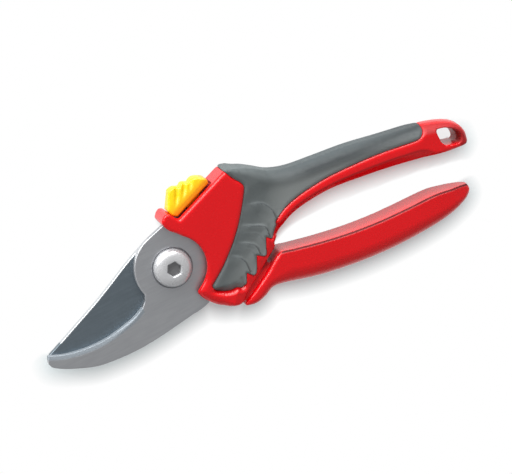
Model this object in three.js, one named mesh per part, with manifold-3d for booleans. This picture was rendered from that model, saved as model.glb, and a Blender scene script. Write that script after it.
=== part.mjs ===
// Bypass pruning shears, lying closed and locked on their back. Millimetres.
// The pivot axis is Z through the origin, +X runs to the handle ends, +Y to the lock button,
// and +Z comes out of the front. The nut and the backs of both handles stand on z = 0.
import * as THREE from "three";
import { mergeVertices } from "three/addons/utils/BufferGeometryUtils.js";
import Module from "manifold-3d";

const wasm = await Module();
wasm.setup();

// ---------------------------------------------------------------- clearances
const fitGap = 0.3; // between moulded pieces and what is let into them
const runGap = 0.25; // between faces that slide past each other
const plateGap = 0.1; // between the flat faces of the two blades

// ---------------------------------------------------------------- pivot stack
const nutThickness = 4.3;
const nutWidth = 13;
const washerThickness = 1.4;
const washerWidth = 2.4;
const washerSplit = 1;
const bladeThickness = 3.2;
const hookThickness = 3.5;
const threadRadius = 4;
const threadChamfer = 0.6;
const shoulderRadius = 5;
const bushWall = 1.2;
const boltHeadRadius = 8.75;
const boltHeadHeight = 4.6;
const boltRimHeight = 1;
const boltCrownRadius = 3.9;
const boltSeatRadius = 9.3; // shallow seat in the hook plate
const boltSeatDepth = 0.4;
const socketWidth = 6;
const socketDepth = 2.8;

const washerBack = nutThickness;
const bladeBack = washerBack + washerThickness;
const bladeFront = bladeBack + bladeThickness;
const hookBack = bladeFront + plateGap;
const hookFront = hookBack + hookThickness;
const boltSeat = hookFront - boltSeatDepth;
const bushRadius = shoulderRadius + runGap + bushWall;
const plateBore = bushRadius + runGap;

// ---------------------------------------------------------------- blades
const ringRadius = 17.4; // hook plate round the pivot
const hubRadius = ringRadius - 1.1; // cutting blade round the pivot
const bellyRadius = 23.9; // hook plate below the pivot, inside the fork
const bladeBevel = 4.2;
const bladeLand = 0.4;
const hookBevel = 2;
const hookLand = 3.05;
const notchWidth = 3.2;
const notchDepth = 2;

// ---------------------------------------------------------------- head
const handleThickness = 18;
const headThickness = 17;
const headRounding = 1.4;
const cheekWall = 3.4;
const cheekRadius = 15.2; // edge of both cheeks round the pivot
const cavityRadius = 44.2; // outer reach of the space that the tongue swings in
const cavityTop = -9.2;
const hubClearance = 1.4;
const skinDepth = 1.6; // soft skin let into the head and the handle

const fullHalf = handleThickness / 2;
const middle = fullHalf;
const headBack = middle - headThickness / 2;
const headFront = middle + headThickness / 2;
const cavityBack = headBack + cheekWall;
const cavityFront = headFront - cheekWall;
const hubSpace = ringRadius + hubClearance;

// ---------------------------------------------------------------- lower handle and spring
const tongueInner = 26; // the tongue starts outside the hook plate's belly
const tongueReach = cavityRadius - 2 * fitGap;
const tongueCorner = cavityRadius - 8;
const tongueTop = cavityTop - 3.7;
const tongueLead = -52; // degrees, leading edge of the tongue
const tongueHeel = -24; // degrees, where the tongue leaves the handle bar
const springWire = 1.1;
const springRadius = 3.75; // middle of the wire
const springTurns = 7.5;
const springAngle = 84; // degrees, lean of the spring's axis
const springFoot = new THREE.Vector2(cavityRadius - 12.6, tongueTop);
const springLength = 20.5;
const spigotLength = 4;
const spigotRadius = springRadius - springWire / 2 - fitGap;

// ---------------------------------------------------------------- lock
const slopeAngle = 21; // degrees, slant of the head's top
const slopeStart = new THREE.Vector2(11.6, 19.6);
const lockTravel = 6;
const topWall = 3;
const buttonWidth = 9;
const buttonTop = 33;
const buttonLength = 20.8;
const buttonCrest = 4.4; // width along the top
const buttonShoulder = 3; // the sides lean in above this
const stemThickness = 3;
const stemLength = 8;
const catchThickness = 2;
const catchHeight = 3.8;
const leafThickness = 0.4;
const leafLength = 13;
const leafBow = 1.1;
const chamberDepth = 6.1;
const screwRadius = 1;
const screwHeadRadius = 1.8;
const screwHeadHeight = 1.3;

// ---------------------------------------------------------------- pins, pad and hanging hole
const pinRadius = 2;
const pinLength = 8;
const padLength = 4.2;
const padWidth = 7;
const holeTaper = 2.5; // the rounded end of the hole leans in by this much at the back

// ---------------------------------------------------------------- helpers
const degrees = THREE.MathUtils.degToRad;
const ringAt = (points, z) => points.map((point) => new THREE.Vector3(point.x, point.y, z));
const polar = (radius, angle) => [radius * Math.cos(degrees(angle)), radius * Math.sin(degrees(angle))];
const rodSides = 24;

// A closed outline: a start point, then the steps below in turn.
function outline(start, ...steps) {
  const shape = new THREE.Shape();
  shape.moveTo(...start);
  steps.forEach((step) => step(shape));
  return shape;
}

function lines(...points) {
  return (shape) => points.forEach((point) => shape.lineTo(...point));
}

function curve(...points) {
  return (shape) => shape.splineThru(points.map((point) => new THREE.Vector2(...point)));
}

function arc(radius, from, to, clockwise = false) {
  return (shape) => shape.absarc(0, 0, radius, degrees(from), degrees(to), clockwise);
}

function solidOf(geometry) {
  const bare = geometry.index ? geometry.toNonIndexed() : geometry.clone();
  bare.deleteAttribute("normal");
  bare.deleteAttribute("uv");
  const merged = mergeVertices(bare, 1e-4);
  const vertProperties = merged.attributes.position.array;
  const triVerts = new Uint32Array(merged.index.array);
  return new wasm.Manifold(new wasm.Mesh({ numProp: 3, vertProperties, triVerts }));
}

function geometryOf(solid) {
  const { vertProperties, triVerts, numProp } = solid.getMesh();
  const positions = new Float32Array((vertProperties.length / numProp) * 3);
  for (let i = 0; i < positions.length / 3; i += 1) {
    positions.set(vertProperties.subarray(i * numProp, i * numProp + 3), i * 3);
  }
  const geometry = new THREE.BufferGeometry();
  geometry.setAttribute("position", new THREE.BufferAttribute(positions, 3));
  geometry.setIndex(new THREE.BufferAttribute(new Uint32Array(triVerts), 1));
  return geometry;
}

function cut(solid, ...tools) {
  return tools.reduce((rest, tool) => rest.subtract(tool), solid);
}

// The points of an outline, anticlockwise, without those that fall on their neighbour.
function pointsOf(shape, curveSegments) {
  const points = shape.extractPoints(curveSegments).shape;
  const spaced = points.filter((point, i) => point.distanceTo(points.at(i - 1)) > 0.02);
  return THREE.ShapeUtils.isClockWise(spaced) ? spaced.reverse() : spaced;
}

// A straight prism of an outline, which may be grown sideways by a clearance.
function prism(shape, from, to, grow = 0, curveSegments = 4) {
  const skin = 0.02;
  const options = { depth: to - from, bevelEnabled: false };
  if (grow !== 0) {
    const grown = { bevelEnabled: true, bevelThickness: skin, bevelSize: 0, bevelOffset: grow };
    Object.assign(options, grown, { bevelSegments: 1 });
  }
  const plain = new THREE.Shape(pointsOf(shape, curveSegments));
  return solidOf(new THREE.ExtrudeGeometry(plain, options).translate(0, 0, from));
}

// A slab of an outline with rounded front and back edges.
function roundedSlab(shape, from, to, radius, curveSegments = 4) {
  const geometry = new THREE.ExtrudeGeometry(new THREE.Shape(pointsOf(shape, curveSegments)), {
    depth: to - from - 2 * radius,
    bevelThickness: radius,
    bevelSize: radius,
    bevelOffset: -radius,
    bevelSegments: 3,
  });
  return solidOf(geometry.translate(0, 0, from + radius));
}

function box(xFrom, xTo, yFrom, yTo, zFrom, zTo) {
  const geometry = new THREE.BoxGeometry(xTo - xFrom, yTo - yFrom, zTo - zFrom);
  return geometry.translate((xFrom + xTo) / 2, (yFrom + yTo) / 2, (zFrom + zTo) / 2);
}

function rod(x, y, radius, from, to, sides = rodSides) {
  const geometry = new THREE.CylinderGeometry(radius, radius, to - from, sides);
  return solidOf(geometry.rotateX(Math.PI / 2).translate(x, y, (from + to) / 2));
}

// A turned piece about Z from its half profile of [radius, height] points.
function turned(profile, segments = 32) {
  const points = profile.map(([radius, height]) => new THREE.Vector2(radius, height));
  return solidOf(new THREE.LatheGeometry(points, segments).rotateX(Math.PI / 2));
}

function tube(inner, outer, from, to) {
  return turned([[inner, from], [outer, from], [outer, to], [inner, to], [inner, from]]);
}

function hexPrism(acrossFlats, from, to) {
  const corner = acrossFlats / 2 / Math.cos(Math.PI / 6);
  const geometry = new THREE.CylinderGeometry(corner, corner, to - from, 6);
  return solidOf(geometry.rotateX(Math.PI / 2).translate(0, 0, (from + to) / 2));
}

// A solid through rings of equal point count, with flat ends.
function loft(rings, endFace) {
  const count = rings[0].length;
  const positions = rings.flat().flatMap((point) => [point.x, point.y, point.z]);
  const faces = THREE.ShapeUtils.triangulateShape(endFace, []);
  const index = [];
  for (let ring = 0; ring + 1 < rings.length; ring += 1) {
    for (let i = 0; i < count; i += 1) {
      const a = ring * count + i;
      const b = ring * count + ((i + 1) % count);
      index.push(a, b, b + count, a, b + count, a + count);
    }
  }
  const last = (rings.length - 1) * count;
  faces.forEach(([a, b, c]) => index.push(a, c, b, last + a, last + b, last + c));
  const geometry = new THREE.BufferGeometry();
  geometry.setAttribute("position", new THREE.Float32BufferAttribute(positions, 3));
  geometry.setIndex(index);
  const solid = solidOf(geometry);
  return solid.volume() > 0 ? solid : turnedOut(geometry);
}

function turnedOut(geometry) {
  const index = Array.from(geometry.index.array);
  for (let i = 0; i < index.length; i += 3) {
    [index[i + 1], index[i + 2]] = [index[i + 2], index[i + 1]];
  }
  geometry.setIndex(index);
  return solidOf(geometry);
}

// A plate of an outline whose one face is set in by bevelAt(point) to form a bevel.
function bevelledPlate(shape, plainFace, bevelFace, land, bevelAt) {
  const points = pointsOf(shape, 4);
  const count = points.length;
  const inset = points.map((point, i) => {
    const before = points[(i + count - 1) % count];
    const after = points[(i + 1) % count];
    const along = after.clone().sub(before).normalize();
    const inward = new THREE.Vector2(-along.y, along.x);
    return point.clone().addScaledVector(inward, bevelAt(point));
  });
  const landFace = plainFace + Math.sign(bevelFace - plainFace) * land;
  return loft([ringAt(points, plainFace), ringAt(points, landFace), ringAt(inset, bevelFace)], points);
}

// ---------------------------------------------------------------- handle bars
// Section of a handle bar: p runs from the finger side to the palm side, q from the middle plane.
function barSection(height, half, crown, crease) {
  const front = [new THREE.Vector2(0, half - crease.y), new THREE.Vector2(crease.x, half)];
  const steps = 4;
  for (let i = 0; i <= steps; i += 1) {
    const turn = (i / steps) * (Math.PI / 2);
    const p = height - crown.x * (1 - Math.sin(turn));
    const q = half - crown.y * (1 - Math.cos(turn));
    front.push(new THREE.Vector2(p, q));
  }
  const back = front.map((point) => new THREE.Vector2(point.x, -point.y));
  return [...back, ...front.reverse()];
}

// A bar through stations, each with its finger-side and palm-side point and its section's sizes.
function bar(stations, inset, stepsPerStation = 2) {
  const track = (pick) => new THREE.CatmullRomCurve3(stations.map((s) => new THREE.Vector3(...pick(s))));
  const finger = track((s) => [...s.finger, 0]);
  const palm = track((s) => [...s.palm, 0]);
  const crown = track((s) => [...s.crown, s.half]);
  const crease = track((s) => [...s.crease, 0]);
  const steps = (stations.length - 1) * stepsPerStation;
  const rings = [];
  let endFace;
  for (let i = 0; i <= steps; i += 1) {
    const t = i / steps;
    const from = finger.getPoint(t);
    const across = palm.getPoint(t).sub(from);
    const height = across.length();
    across.normalize();
    const size = crown.getPoint(t);
    const half = Math.min(size.z, fullHalf) - inset;
    const section = barSection(height - 2 * inset, half, size, crease.getPoint(t));
    endFace = section;
    rings.push(section.map(({ x, y }) => {
      const point = from.clone().addScaledVector(across, x + inset);
      return new THREE.Vector3(point.x, point.y, middle + y);
    }));
  }
  return loft(rings, endFace);
}

const upperStations = [
  { finger: [46.3, -9.9], palm: [42.5, 28.9], half: fullHalf - 0.7, crown: [2.2, 2.2], crease: [1.5, 1.5] },
  { finger: [49, -8.1], palm: [47.5, 27.1], half: fullHalf - 0.6, crown: [3.5, 3], crease: [1.8, 1.8] },
  { finger: [53, -5.2], palm: [52.5, 24], half: fullHalf - 0.5, crown: [5.5, 4.5], crease: [2, 2] },
  { finger: [59, -2.5], palm: [58.5, 19.9], half: fullHalf - 0.3, crown: [7, 5.8], crease: [2.2, 2.5] },
  { finger: [67, -1], palm: [67, 17.1], half: fullHalf - 0.1, crown: [7.5, 6.6], crease: [2.5, 3] },
  { finger: [80, -0.3], palm: [80, 15.4], half: fullHalf, crown: [7.5, 6.8], crease: [2.5, 3] },
  { finger: [95, -2], palm: [95, 13.6], half: fullHalf, crown: [7.5, 6.8], crease: [3.4, 3.2] },
  { finger: [110, -4.3], palm: [110, 10.7], half: fullHalf, crown: [7, 6.6], crease: [4, 3.4] },
  { finger: [124, -6.9], palm: [124, 8.1], half: fullHalf, crown: [6.5, 6.2], crease: [4, 3] },
  { finger: [134, -9.1], palm: [133.5, 5.8], half: fullHalf - 0.4, crown: [5.2, 5.2], crease: [1, 1.2] },
  { finger: [141, -10.1], palm: [141.2, 2.6], half: fullHalf - 1, crown: [3.4, 4.4], crease: [1, 1.2] },
  { finger: [144.5, -10.3], palm: [145.1, -0.9], half: fullHalf - 1.7, crown: [2, 3.4], crease: [1, 1.4] },
  { finger: [146.2, -8.8], palm: [146.5, -4.9], half: fullHalf - 2.7, crown: [0.8, 2], crease: [0.6, 1.6] },
];
const lowerStations = [
  { finger: [23.8, -29.3], palm: [22.6, -30.9], half: fullHalf - 2.6, crown: [0.6, 1.4], crease: [0.4, 0.8] },
  { finger: [27.5, -27.3], palm: [27.5, -32.3], half: fullHalf - 1.2, crown: [2.6, 3.2], crease: [0.8, 0.8] },
  { finger: [32.6, -24.3], palm: [32.6, -31.2], half: fullHalf - 0.7, crown: [3.6, 4], crease: [1, 1] },
  { finger: [38.4, -20.8], palm: [37.6, -29.2], half: fullHalf - 0.4, crown: [4.5, 4.6], crease: [1.1, 1.1] },
  { finger: [46, -15.6], palm: [44, -30.3], half: fullHalf - 0.2, crown: [6.5, 5.6], crease: [1.2, 1.2] },
  { finger: [53, -16.8], palm: [52, -32.8], half: fullHalf - 0.1, crown: [7.5, 6.6], crease: [1, 1] },
  { finger: [65, -19.5], palm: [64, -35.6], half: fullHalf, crown: [7.5, 7], crease: [1, 1] },
  { finger: [80, -22.1], palm: [80, -37.9], half: fullHalf, crown: [7.5, 7], crease: [1, 1] },
  { finger: [95, -23.6], palm: [95, -38.9], half: fullHalf, crown: [7.5, 7], crease: [1, 1] },
  { finger: [110, -24.1], palm: [110, -38.7], half: fullHalf, crown: [7, 6.8], crease: [1, 1] },
  { finger: [121, -24.4], palm: [122, -37.6], half: fullHalf - 0.4, crown: [5.5, 6], crease: [1, 1] },
  { finger: [129, -25.9], palm: [130.2, -35.6], half: fullHalf - 1.8, crown: [3.8, 4.2], crease: [0.8, 1] },
  { finger: [134.5, -27.1], palm: [135.4, -33.5], half: fullHalf - 4.2, crown: [2, 2.4], crease: [0.6, 0.8] },
  { finger: [137.8, -28.2], palm: [138, -31], half: fullHalf - 6.2, crown: [0.8, 1.2], crease: [0.4, 0.6] },
];

// ---------------------------------------------------------------- lock frame
// The lock slides in a frame of its own: s along the slanted top, n out of it, z as outside.
const lockFrame = new THREE.Group();
lockFrame.position.set(slopeStart.x, slopeStart.y, 0);
lockFrame.rotation.z = degrees(slopeAngle);
lockFrame.updateMatrix();

const intoHead = (geometry) => solidOf(geometry.clone().applyMatrix4(lockFrame.matrix));

const stemStart = 6.4;
const stemBack = hookBack - 0.4;
const stemFront = stemBack + stemThickness;
const catchFront = stemBack - 0.1;
const catchBack = catchFront - catchThickness;
const catchTop = -topWall - fitGap;
const catchReach = -3.2;
const chamberFloor = -topWall - chamberDepth;
const chamberStart = 2;
const chamberEnd = 24.5;

// ---------------------------------------------------------------- upper handle
function slopePoint(s, n) {
  const point = new THREE.Vector3(s, n, 0).applyMatrix4(lockFrame.matrix);
  return [point.x, point.y];
}

function headOutline() {
  return outline(
    [3.7, 21.2],
    curve([4.2, 19.2], [5.6, 16.6], [8, 14.2], polar(cheekRadius, 48)),
    arc(cheekRadius, 48, -32, true),
    curve([10.6, -10.2], [7.4, -12.1], [5.3, -14.8], [6, -18], [8.6, -21.9], [11.6, -25], [15.6, -27.7]),
    curve([19.6, -29], [22.4, -28.8], [23.9, -27.4], [26, -25.4], [29.8, -22.9]),
    lines([44.4, -13.2]),
    curve([45.6, -12], [46.4, -10.6]),
    lines([48.6, -8.4], [46, 20], [45, 27.4], [42.6, 29.3]),
    curve([40, 30.2], slopePoint(27, -0.1)),
    lines(slopePoint(0.2, 0)),
    curve([10.6, 20.5], [9.5, 22.2], [8.4, 23.9], [6.7, 24.4], [5, 23.4]),
    lines([3.8, 22]),
  );
}

// The stiff plastic that backs the soft skin of the head.
function headBackingOutline() {
  return outline(
    [30, 20],
    lines([11, -11], [11.6, -18.6], [14.4, -22], [20, -25.4], [24.4, -25.8], [44, -13]),
    lines([45.4, -8], [44.6, 0], [44.4, 25.2]),
    lines([41.4, 27.4], [36.6, 26.4]),
  );
}

function softOutline() {
  return outline(
    [37.9, 34],
    lines([38.2, 30.6], [39.4, 29.4]),
    curve([41.6, 25], [43.9, 21.6], [44, 18.6], [39.6, 11.5], [34.6, 4.7], [29.6, -1]),
    curve([24.6, -5.7], [19.6, -9.9], [14.6, -13.5], [12.4, -15.2], [13.2, -17.7], [16.6, -20.1]),
    curve([19.6, -21.1], [22.1, -21.1], [24.4, -22.3], [26.8, -21.6]),
    lines([28.9, -16.8], [31.2, -19.4]),
    curve([32.8, -19.2], [34.2, -16.8]),
    lines([36.4, -11.6], [39.4, -13.8]),
    curve([40.7, -13.4], [41.6, -11]),
    lines([43.8, -6], [45.8, -8]),
    curve([46.9, -7.2], [48.4, -5.4], [50.4, -3.2]),
    curve([50.6, -2], [51.8, -0.9], [57.3, 2.1], [64.6, 4.2], [74.6, 5.5]),
    curve([84.6, 5.9], [105, 4.8], [122, 2.4]),
    curve([125.8, 2.3], [128.5, 4.4], [129.1, 7]),
    lines([129.6, 14], [129.6, 34]),
  );
}

function cavityOutline() {
  const wall = (Math.asin(cavityTop / cavityRadius) * 180) / Math.PI;
  return outline(
    [0, cavityTop],
    lines(polar(cavityRadius, wall)),
    arc(cavityRadius, wall, -90, true),
  );
}

// A rounded triangle through the handle's end. Its far end leans inwards towards the back.
function hangingHole() {
  const shape = outline(
    [134, 0],
    curve([134.2, 1.5], [135.3, 2.1], [138.5, 1.2]),
    curve([141.4, -0.7], [143.6, -3.2], [144.2, -5.6], [143.4, -7.3], [141.2, -7.9]),
    curve([137.9, -7.1], [135.3, -6.1]),
    lines([134.2, -4]),
  );
  const front = pointsOf(shape, 2);
  const { x: farEnd } = front.reduce((far, point) => (point.x > far.x ? point : far));
  const straight = (front[0].x + farEnd) / 2;
  const lean = (x) => (holeTaper * Math.max(0, x - straight)) / (farEnd - straight);
  const back = front.map(({ x, y }) => new THREE.Vector2(x - lean(x), y));
  return loft([ringAt(back, -1), ringAt(front, handleThickness + 1)], front);
}

// The whole upper handle as if it were one material.
function upperForm() {
  return roundedSlab(headOutline(), headBack, headFront, headRounding, 3).add(bar(upperStations, 0));
}

// What is left of it under a skin of the given depth.
function underSkin(depth) {
  const slab = prism(headBackingOutline(), headBack + depth, headFront - depth);
  return slab.add(bar(upperStations.slice(0, -3), depth));
}

function springSpace(radius, from, to) {
  const geometry = new THREE.CylinderGeometry(radius, radius, to - from, 24);
  geometry.translate(0, (from + to) / 2, 0);
  geometry.rotateZ(degrees(springAngle - 90));
  return solidOf(geometry.translate(springFoot.x, springFoot.y, middle));
}

function lockSpace() {
  const slotStart = stemStart - fitGap;
  const slotEnd = stemStart + stemLength + lockTravel + fitGap;
  const slot = box(slotStart, slotEnd, -topWall - 1, 4, stemBack - fitGap, stemFront + fitGap);
  const chamberBack = catchBack - screwHeadHeight - fitGap;
  const chamber = box(chamberStart, chamberEnd, chamberFloor, -topWall, chamberBack, stemFront + fitGap);
  const mouth = box(catchReach - 5, chamberStart + 1, chamberFloor, -topWall, catchBack - fitGap, stemBack);
  return [slot, chamber, mouth].map(intoHead);
}

function upperHandleCore() {
  const soft = prism(softOutline(), -1, handleThickness + 1, fitGap, 3);
  const core = upperForm().subtract(soft).add(underSkin(skinDepth + fitGap));
  const fork = prism(cavityOutline(), cavityBack, cavityFront);
  const hub = rod(0, 0, hubSpace, cavityBack, cavityFront, 64);
  const open = rod(0, 0, cheekRadius, -1, handleThickness + 1, 64);
  const shaft = springSpace(springRadius + springWire / 2 + fitGap * 2, 0, springLength);
  const pocket = prism(hookOutline(), hookBack - fitGap, hookFront + fitGap, fitGap);
  const holes = hookPinPlaces.map(([x, y]) => rod(x, y, pinRadius + fitGap, pinBack, pinFront));
  const body = cut(core, open, fork, hub, shaft, pocket, ...lockSpace(), ...holes, hangingHole());
  return body.add(springSpace(spigotRadius, springLength - spigotLength, springLength + 1));
}

function upperGrip() {
  const soft = prism(softOutline(), -1, handleThickness + 1, 0, 3);
  return upperForm().intersect(soft).subtract(underSkin(skinDepth));
}

// ---------------------------------------------------------------- blades
function hookOutline() {
  return outline(
    polar(ringRadius, 106.4),
    lines([4, 19.3], [8.4, 20.4], [10.2, 17.8], polar(ringRadius, 50)),
    arc(ringRadius, 50, 33, true),
    lines([33.2, 16.2]),
    curve([35.2, 15.4], [35.8, 13], [34.2, 11.2]),
    lines(polar(ringRadius + 1.5, 10), polar(ringRadius, 4)),
    arc(ringRadius, 4, -34, true),
    lines(polar(bellyRadius, -40)),
    arc(bellyRadius, -40, -90, true),
    curve([-10, -25.3], [-20, -26.5], [-30, -27.05], [-40, -26.6], [-50, -25.1], [-60, -21.1], [-65, -18.5]),
    curve([-67.9, -16.4], [-68.9, -14.3], [-68.5, -12.3], [-67.6, -10.6]),
    curve([-60, -13.7], [-50, -15.6], [-40, -15.8], [-30, -14.1], [-24.9, -12.8], [-19.9, -10.5]),
    curve([-17.8, -8.4], polar(ringRadius, 199)),
    arc(ringRadius, 199, 106.4, true),
  );
}

function hookBevelAt({ x, y }) {
  const onThroat = x < -19 && x > -67 && y > -16.5;
  return onThroat ? hookBevel * Math.min(1, (-19 - x) / 25) : 0;
}

function hookBlade() {
  const plate = bevelledPlate(hookOutline(), hookBack, hookFront, hookLand, hookBevelAt);
  const pins = hookPinPlaces.map(([x, y]) => rod(x, y, pinRadius + fitGap, hookBack - 1, hookFront + 1));
  const seat = rod(0, 0, boltSeatRadius, boltSeat, hookFront + 1, 48);
  return cut(plate, rod(0, 0, plateBore, hookBack - 1, hookFront + 1), seat, ...pins);
}

function bladeOutline() {
  return outline(
    polar(hubRadius, 118),
    curve([-10.95, 13.2], [-19.45, 9.4], [-29.45, 4.4], [-39.45, -0.25], [-49.45, -4.4], [-59.45, -8.6]),
    lines([-66.95, -11.6]),
    curve([-60, -16.2], [-50, -18.6], [-40, -19.3], [-30, -18], [-22, -15.9], [-14, -14.4]),
    lines(polar(hubRadius, 248)),
    arc(hubRadius, 248, 304),
    ...bladeTangSteps(),
    lines(polar(hubRadius, 334)),
    arc(hubRadius, 334, 478),
  );
}

function bladeTangSteps() {
  return [
    curve([16, -17.6], [26, -25.4], [38, -26.6]),
    lines([50, -26.6]),
    curve([52, -25.6], [52.6, -23.4], [52, -21.2], [50, -20.2]),
    lines([38, -19.4]),
    curve([26, -16.6], [17.4, -11.4]),
  ];
}

function bladeTang() {
  const start = [9.1, -13.5];
  return outline(start, ...bladeTangSteps(), lines([15, -6]));
}

// The bevel dies out where the edge meets the chord from the point to the heel.
function bladeBevelAt({ x, y }) {
  const chord = -11.6 - (3.5 * (x + 66.95)) / 60.85;
  const sag = x < -6 ? chord - y : 0;
  return bladeBevel * Math.min(1, Math.max(0, sag / 2.6));
}

function cuttingBlade() {
  const plate = bevelledPlate(bladeOutline(), bladeFront, bladeBack, bladeLand, bladeBevelAt);
  const pins = bladePinPlaces.map(([x, y]) => rod(x, y, pinRadius + fitGap, bladeBack - 1, bladeFront + 1));
  const notch = box(hubRadius - notchDepth, hubRadius + 2, -notchWidth / 2, notchWidth / 2, 0, hookBack);
  notch.rotateZ(degrees(55));
  return cut(plate, rod(0, 0, plateBore, bladeBack - 1, bladeFront + 1), solidOf(notch), ...pins);
}

// ---------------------------------------------------------------- lower handle
function tongueOutline() {
  const top = (Math.asin(tongueTop / tongueInner) * 180) / Math.PI;
  return outline(
    polar(tongueInner, top),
    arc(tongueInner, top, tongueLead, true),
    lines(polar(tongueCorner, tongueLead), [26.4, -30], [42, -24], [42.6, -18.8]),
    lines(polar(tongueReach, tongueHeel)),
    arc(tongueReach, tongueHeel, (Math.asin(tongueTop / tongueReach) * 180) / Math.PI),
  );
}

function lowerHandle() {
  const tongue = prism(tongueOutline(), cavityBack + runGap, cavityFront - runGap);
  const pocket = prism(bladeTang(), bladeBack - fitGap, bladeFront + fitGap, fitGap);
  const front = rod(0, 0, tongueInner, bladeFront + fitGap, handleThickness, 64);
  const holes = bladePinPlaces.map(([x, y]) => rod(x, y, pinRadius + fitGap, pinBack, pinFront));
  const spigot = springSpace(spigotRadius, -1, spigotLength);
  return cut(bar(lowerStations, 0).add(tongue), pocket, front, ...holes).add(spigot);
}

// ---------------------------------------------------------------- pivot
function pivotBolt() {
  const top = hookFront + boltHeadHeight;
  const dome = new THREE.EllipseCurve(0, 0, 1, 1, 0, Math.PI / 2).getPoints(5);
  const rise = boltHeadHeight - boltRimHeight;
  const crown = dome.map(({ x, y }) => [
    boltCrownRadius + (boltHeadRadius - boltCrownRadius) * x,
    hookFront + boltRimHeight + rise * y,
  ]);
  const bolt = turned([
    [0, 0],
    [threadRadius - threadChamfer, 0],
    [threadRadius, threadChamfer],
    [threadRadius, bladeBack],
    [shoulderRadius, bladeBack],
    [shoulderRadius, boltSeat],
    [boltHeadRadius, boltSeat],
    ...crown,
    [0, top],
  ]);
  return bolt.subtract(hexPrism(socketWidth, top - socketDepth, top + 1));
}

function pivotNut() {
  return hexPrism(nutWidth, 0, nutThickness).subtract(rod(0, 0, threadRadius + fitGap, -1, nutThickness + 1));
}

function springWasher() {
  const inner = threadRadius + fitGap;
  const ring = tube(inner, inner + washerWidth, washerBack, bladeBack);
  const split = box(0, 20, -washerSplit / 2, washerSplit / 2, washerBack - 1, bladeBack + 1);
  return ring.subtract(solidOf(split.rotateZ(degrees(30))));
}

function pivotBush() {
  return tube(shoulderRadius + runGap, bushRadius, bladeBack, boltSeat);
}

// ---------------------------------------------------------------- return spring
class Coil extends THREE.Curve {
  getPoint(t, target = new THREE.Vector3()) {
    const turn = 2 * Math.PI * springTurns * t;
    const rise = springLength - springWire - 2 * fitGap;
    const height = springWire / 2 + fitGap + rise * t;
    return target.set(springRadius * Math.cos(turn), height, springRadius * Math.sin(turn));
  }
}

function returnSpring() {
  const wire = new THREE.Shape().absarc(0, 0, springWire / 2, 0, 2 * Math.PI);
  const options = { steps: Math.round(springTurns * 10), curveSegments: 4, extrudePath: new Coil() };
  const geometry = new THREE.ExtrudeGeometry(wire, options);
  geometry.rotateZ(degrees(springAngle - 90));
  return solidOf(geometry.translate(springFoot.x, springFoot.y, middle));
}

// ---------------------------------------------------------------- lock pieces, in the lock frame
function buttonOutline() {
  return outline(
    [0.6, fitGap],
    lines([buttonLength, fitGap], [buttonLength + 0.9, 2]),
    curve([buttonLength + 0.6, 3.6], [19.6, 6.1]),
    lines([16.2, 7.7], [14.3, 7.1], [12.5, 9.2], [10.7, 8.6]),
    curve([9.2, 10.2], [7.4, 10.9], [5.7, 10.6]),
    lines([-0.5, 4.9], [-0.4, 2.8]),
  );
}

// The button seen along its travel, wide at the foot and narrow along the crest.
function buttonSection() {
  const half = buttonWidth / 2;
  const height = buttonTop - slopeStart.y;
  const right = [[half, 0], [half, buttonShoulder], [buttonCrest / 2, height]];
  const left = right.map(([across, out]) => [-across, out]).reverse();
  return outline(right[0], lines(...right.slice(1), ...left));
}

function lockButton() {
  const half = buttonWidth / 2;
  const slab = roundedSlab(buttonOutline(), middle - half, middle + half, 0.8, 3);
  const length = { depth: buttonLength + 4, bevelEnabled: false };
  const leaning = new THREE.ExtrudeGeometry(buttonSection(), length).rotateY(Math.PI / 2);
  const cap = slab.intersect(solidOf(leaning.translate(-2, 0, middle)));
  const stem = solidOf(box(stemStart, stemStart + stemLength, chamberFloor + 2, 2, stemBack, stemFront));
  const bore = rod(screwPlace.x, screwPlace.y, screwRadius + fitGap, stemBack - 1, stemFront - 0.6);
  return cap.add(stem).subtract(bore);
}

const screwPlace = new THREE.Vector2(stemStart + stemLength / 2, catchTop - catchHeight / 2);

function lockCatch() {
  const end = stemStart + stemLength + 1;
  const shape = outline(
    [catchReach, catchTop - 0.6],
    lines([catchReach + 1, catchTop], [end, catchTop], [end, catchTop - catchHeight]),
    lines([catchReach + 6, catchTop - catchHeight], [catchReach, catchTop - 2.6]),
  );
  const plate = prism(shape, catchBack, catchFront);
  return plate.subtract(rod(screwPlace.x, screwPlace.y, screwRadius + fitGap, catchBack - 1, catchFront + 1));
}

function lockScrew() {
  const { x, y } = screwPlace;
  const head = rod(x, y, screwHeadRadius, catchBack - screwHeadHeight, catchBack);
  return head.add(rod(x, y, screwRadius, catchBack - 0.1, stemFront - 1));
}

function detentLeaf() {
  const start = stemStart - 1;
  const floor = chamberFloor + fitGap;
  const line = (lift) => [
    [start, floor + lift],
    [start + 2, floor + lift],
    [start + leafLength / 2, floor + leafBow + lift],
    [start + leafLength - 2, floor + lift],
    [start + leafLength, floor + lift],
  ];
  const upper = line(leafThickness).reverse();
  const shape = outline(line(0)[0], curve(...line(0).slice(1)), lines(upper[0]), curve(...upper.slice(1)));
  return prism(shape, catchBack - 1, stemFront - 0.5);
}

// ---------------------------------------------------------------- pins and closing pad
const hookPinPlaces = [[22.4, 8.6], [31.4, 13.4]];
const bladePinPlaces = [[35, -23.2], [47, -23.4]];
const pinBack = middle - pinLength / 2;
const pinFront = middle + pinLength / 2;

function closingPad() {
  const right = Math.sqrt(cavityRadius ** 2 - tongueTop ** 2) - fitGap;
  const half = padWidth / 2;
  return solidOf(box(right - padLength, right, tongueTop + fitGap, cavityTop, middle - half, middle + half));
}

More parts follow.
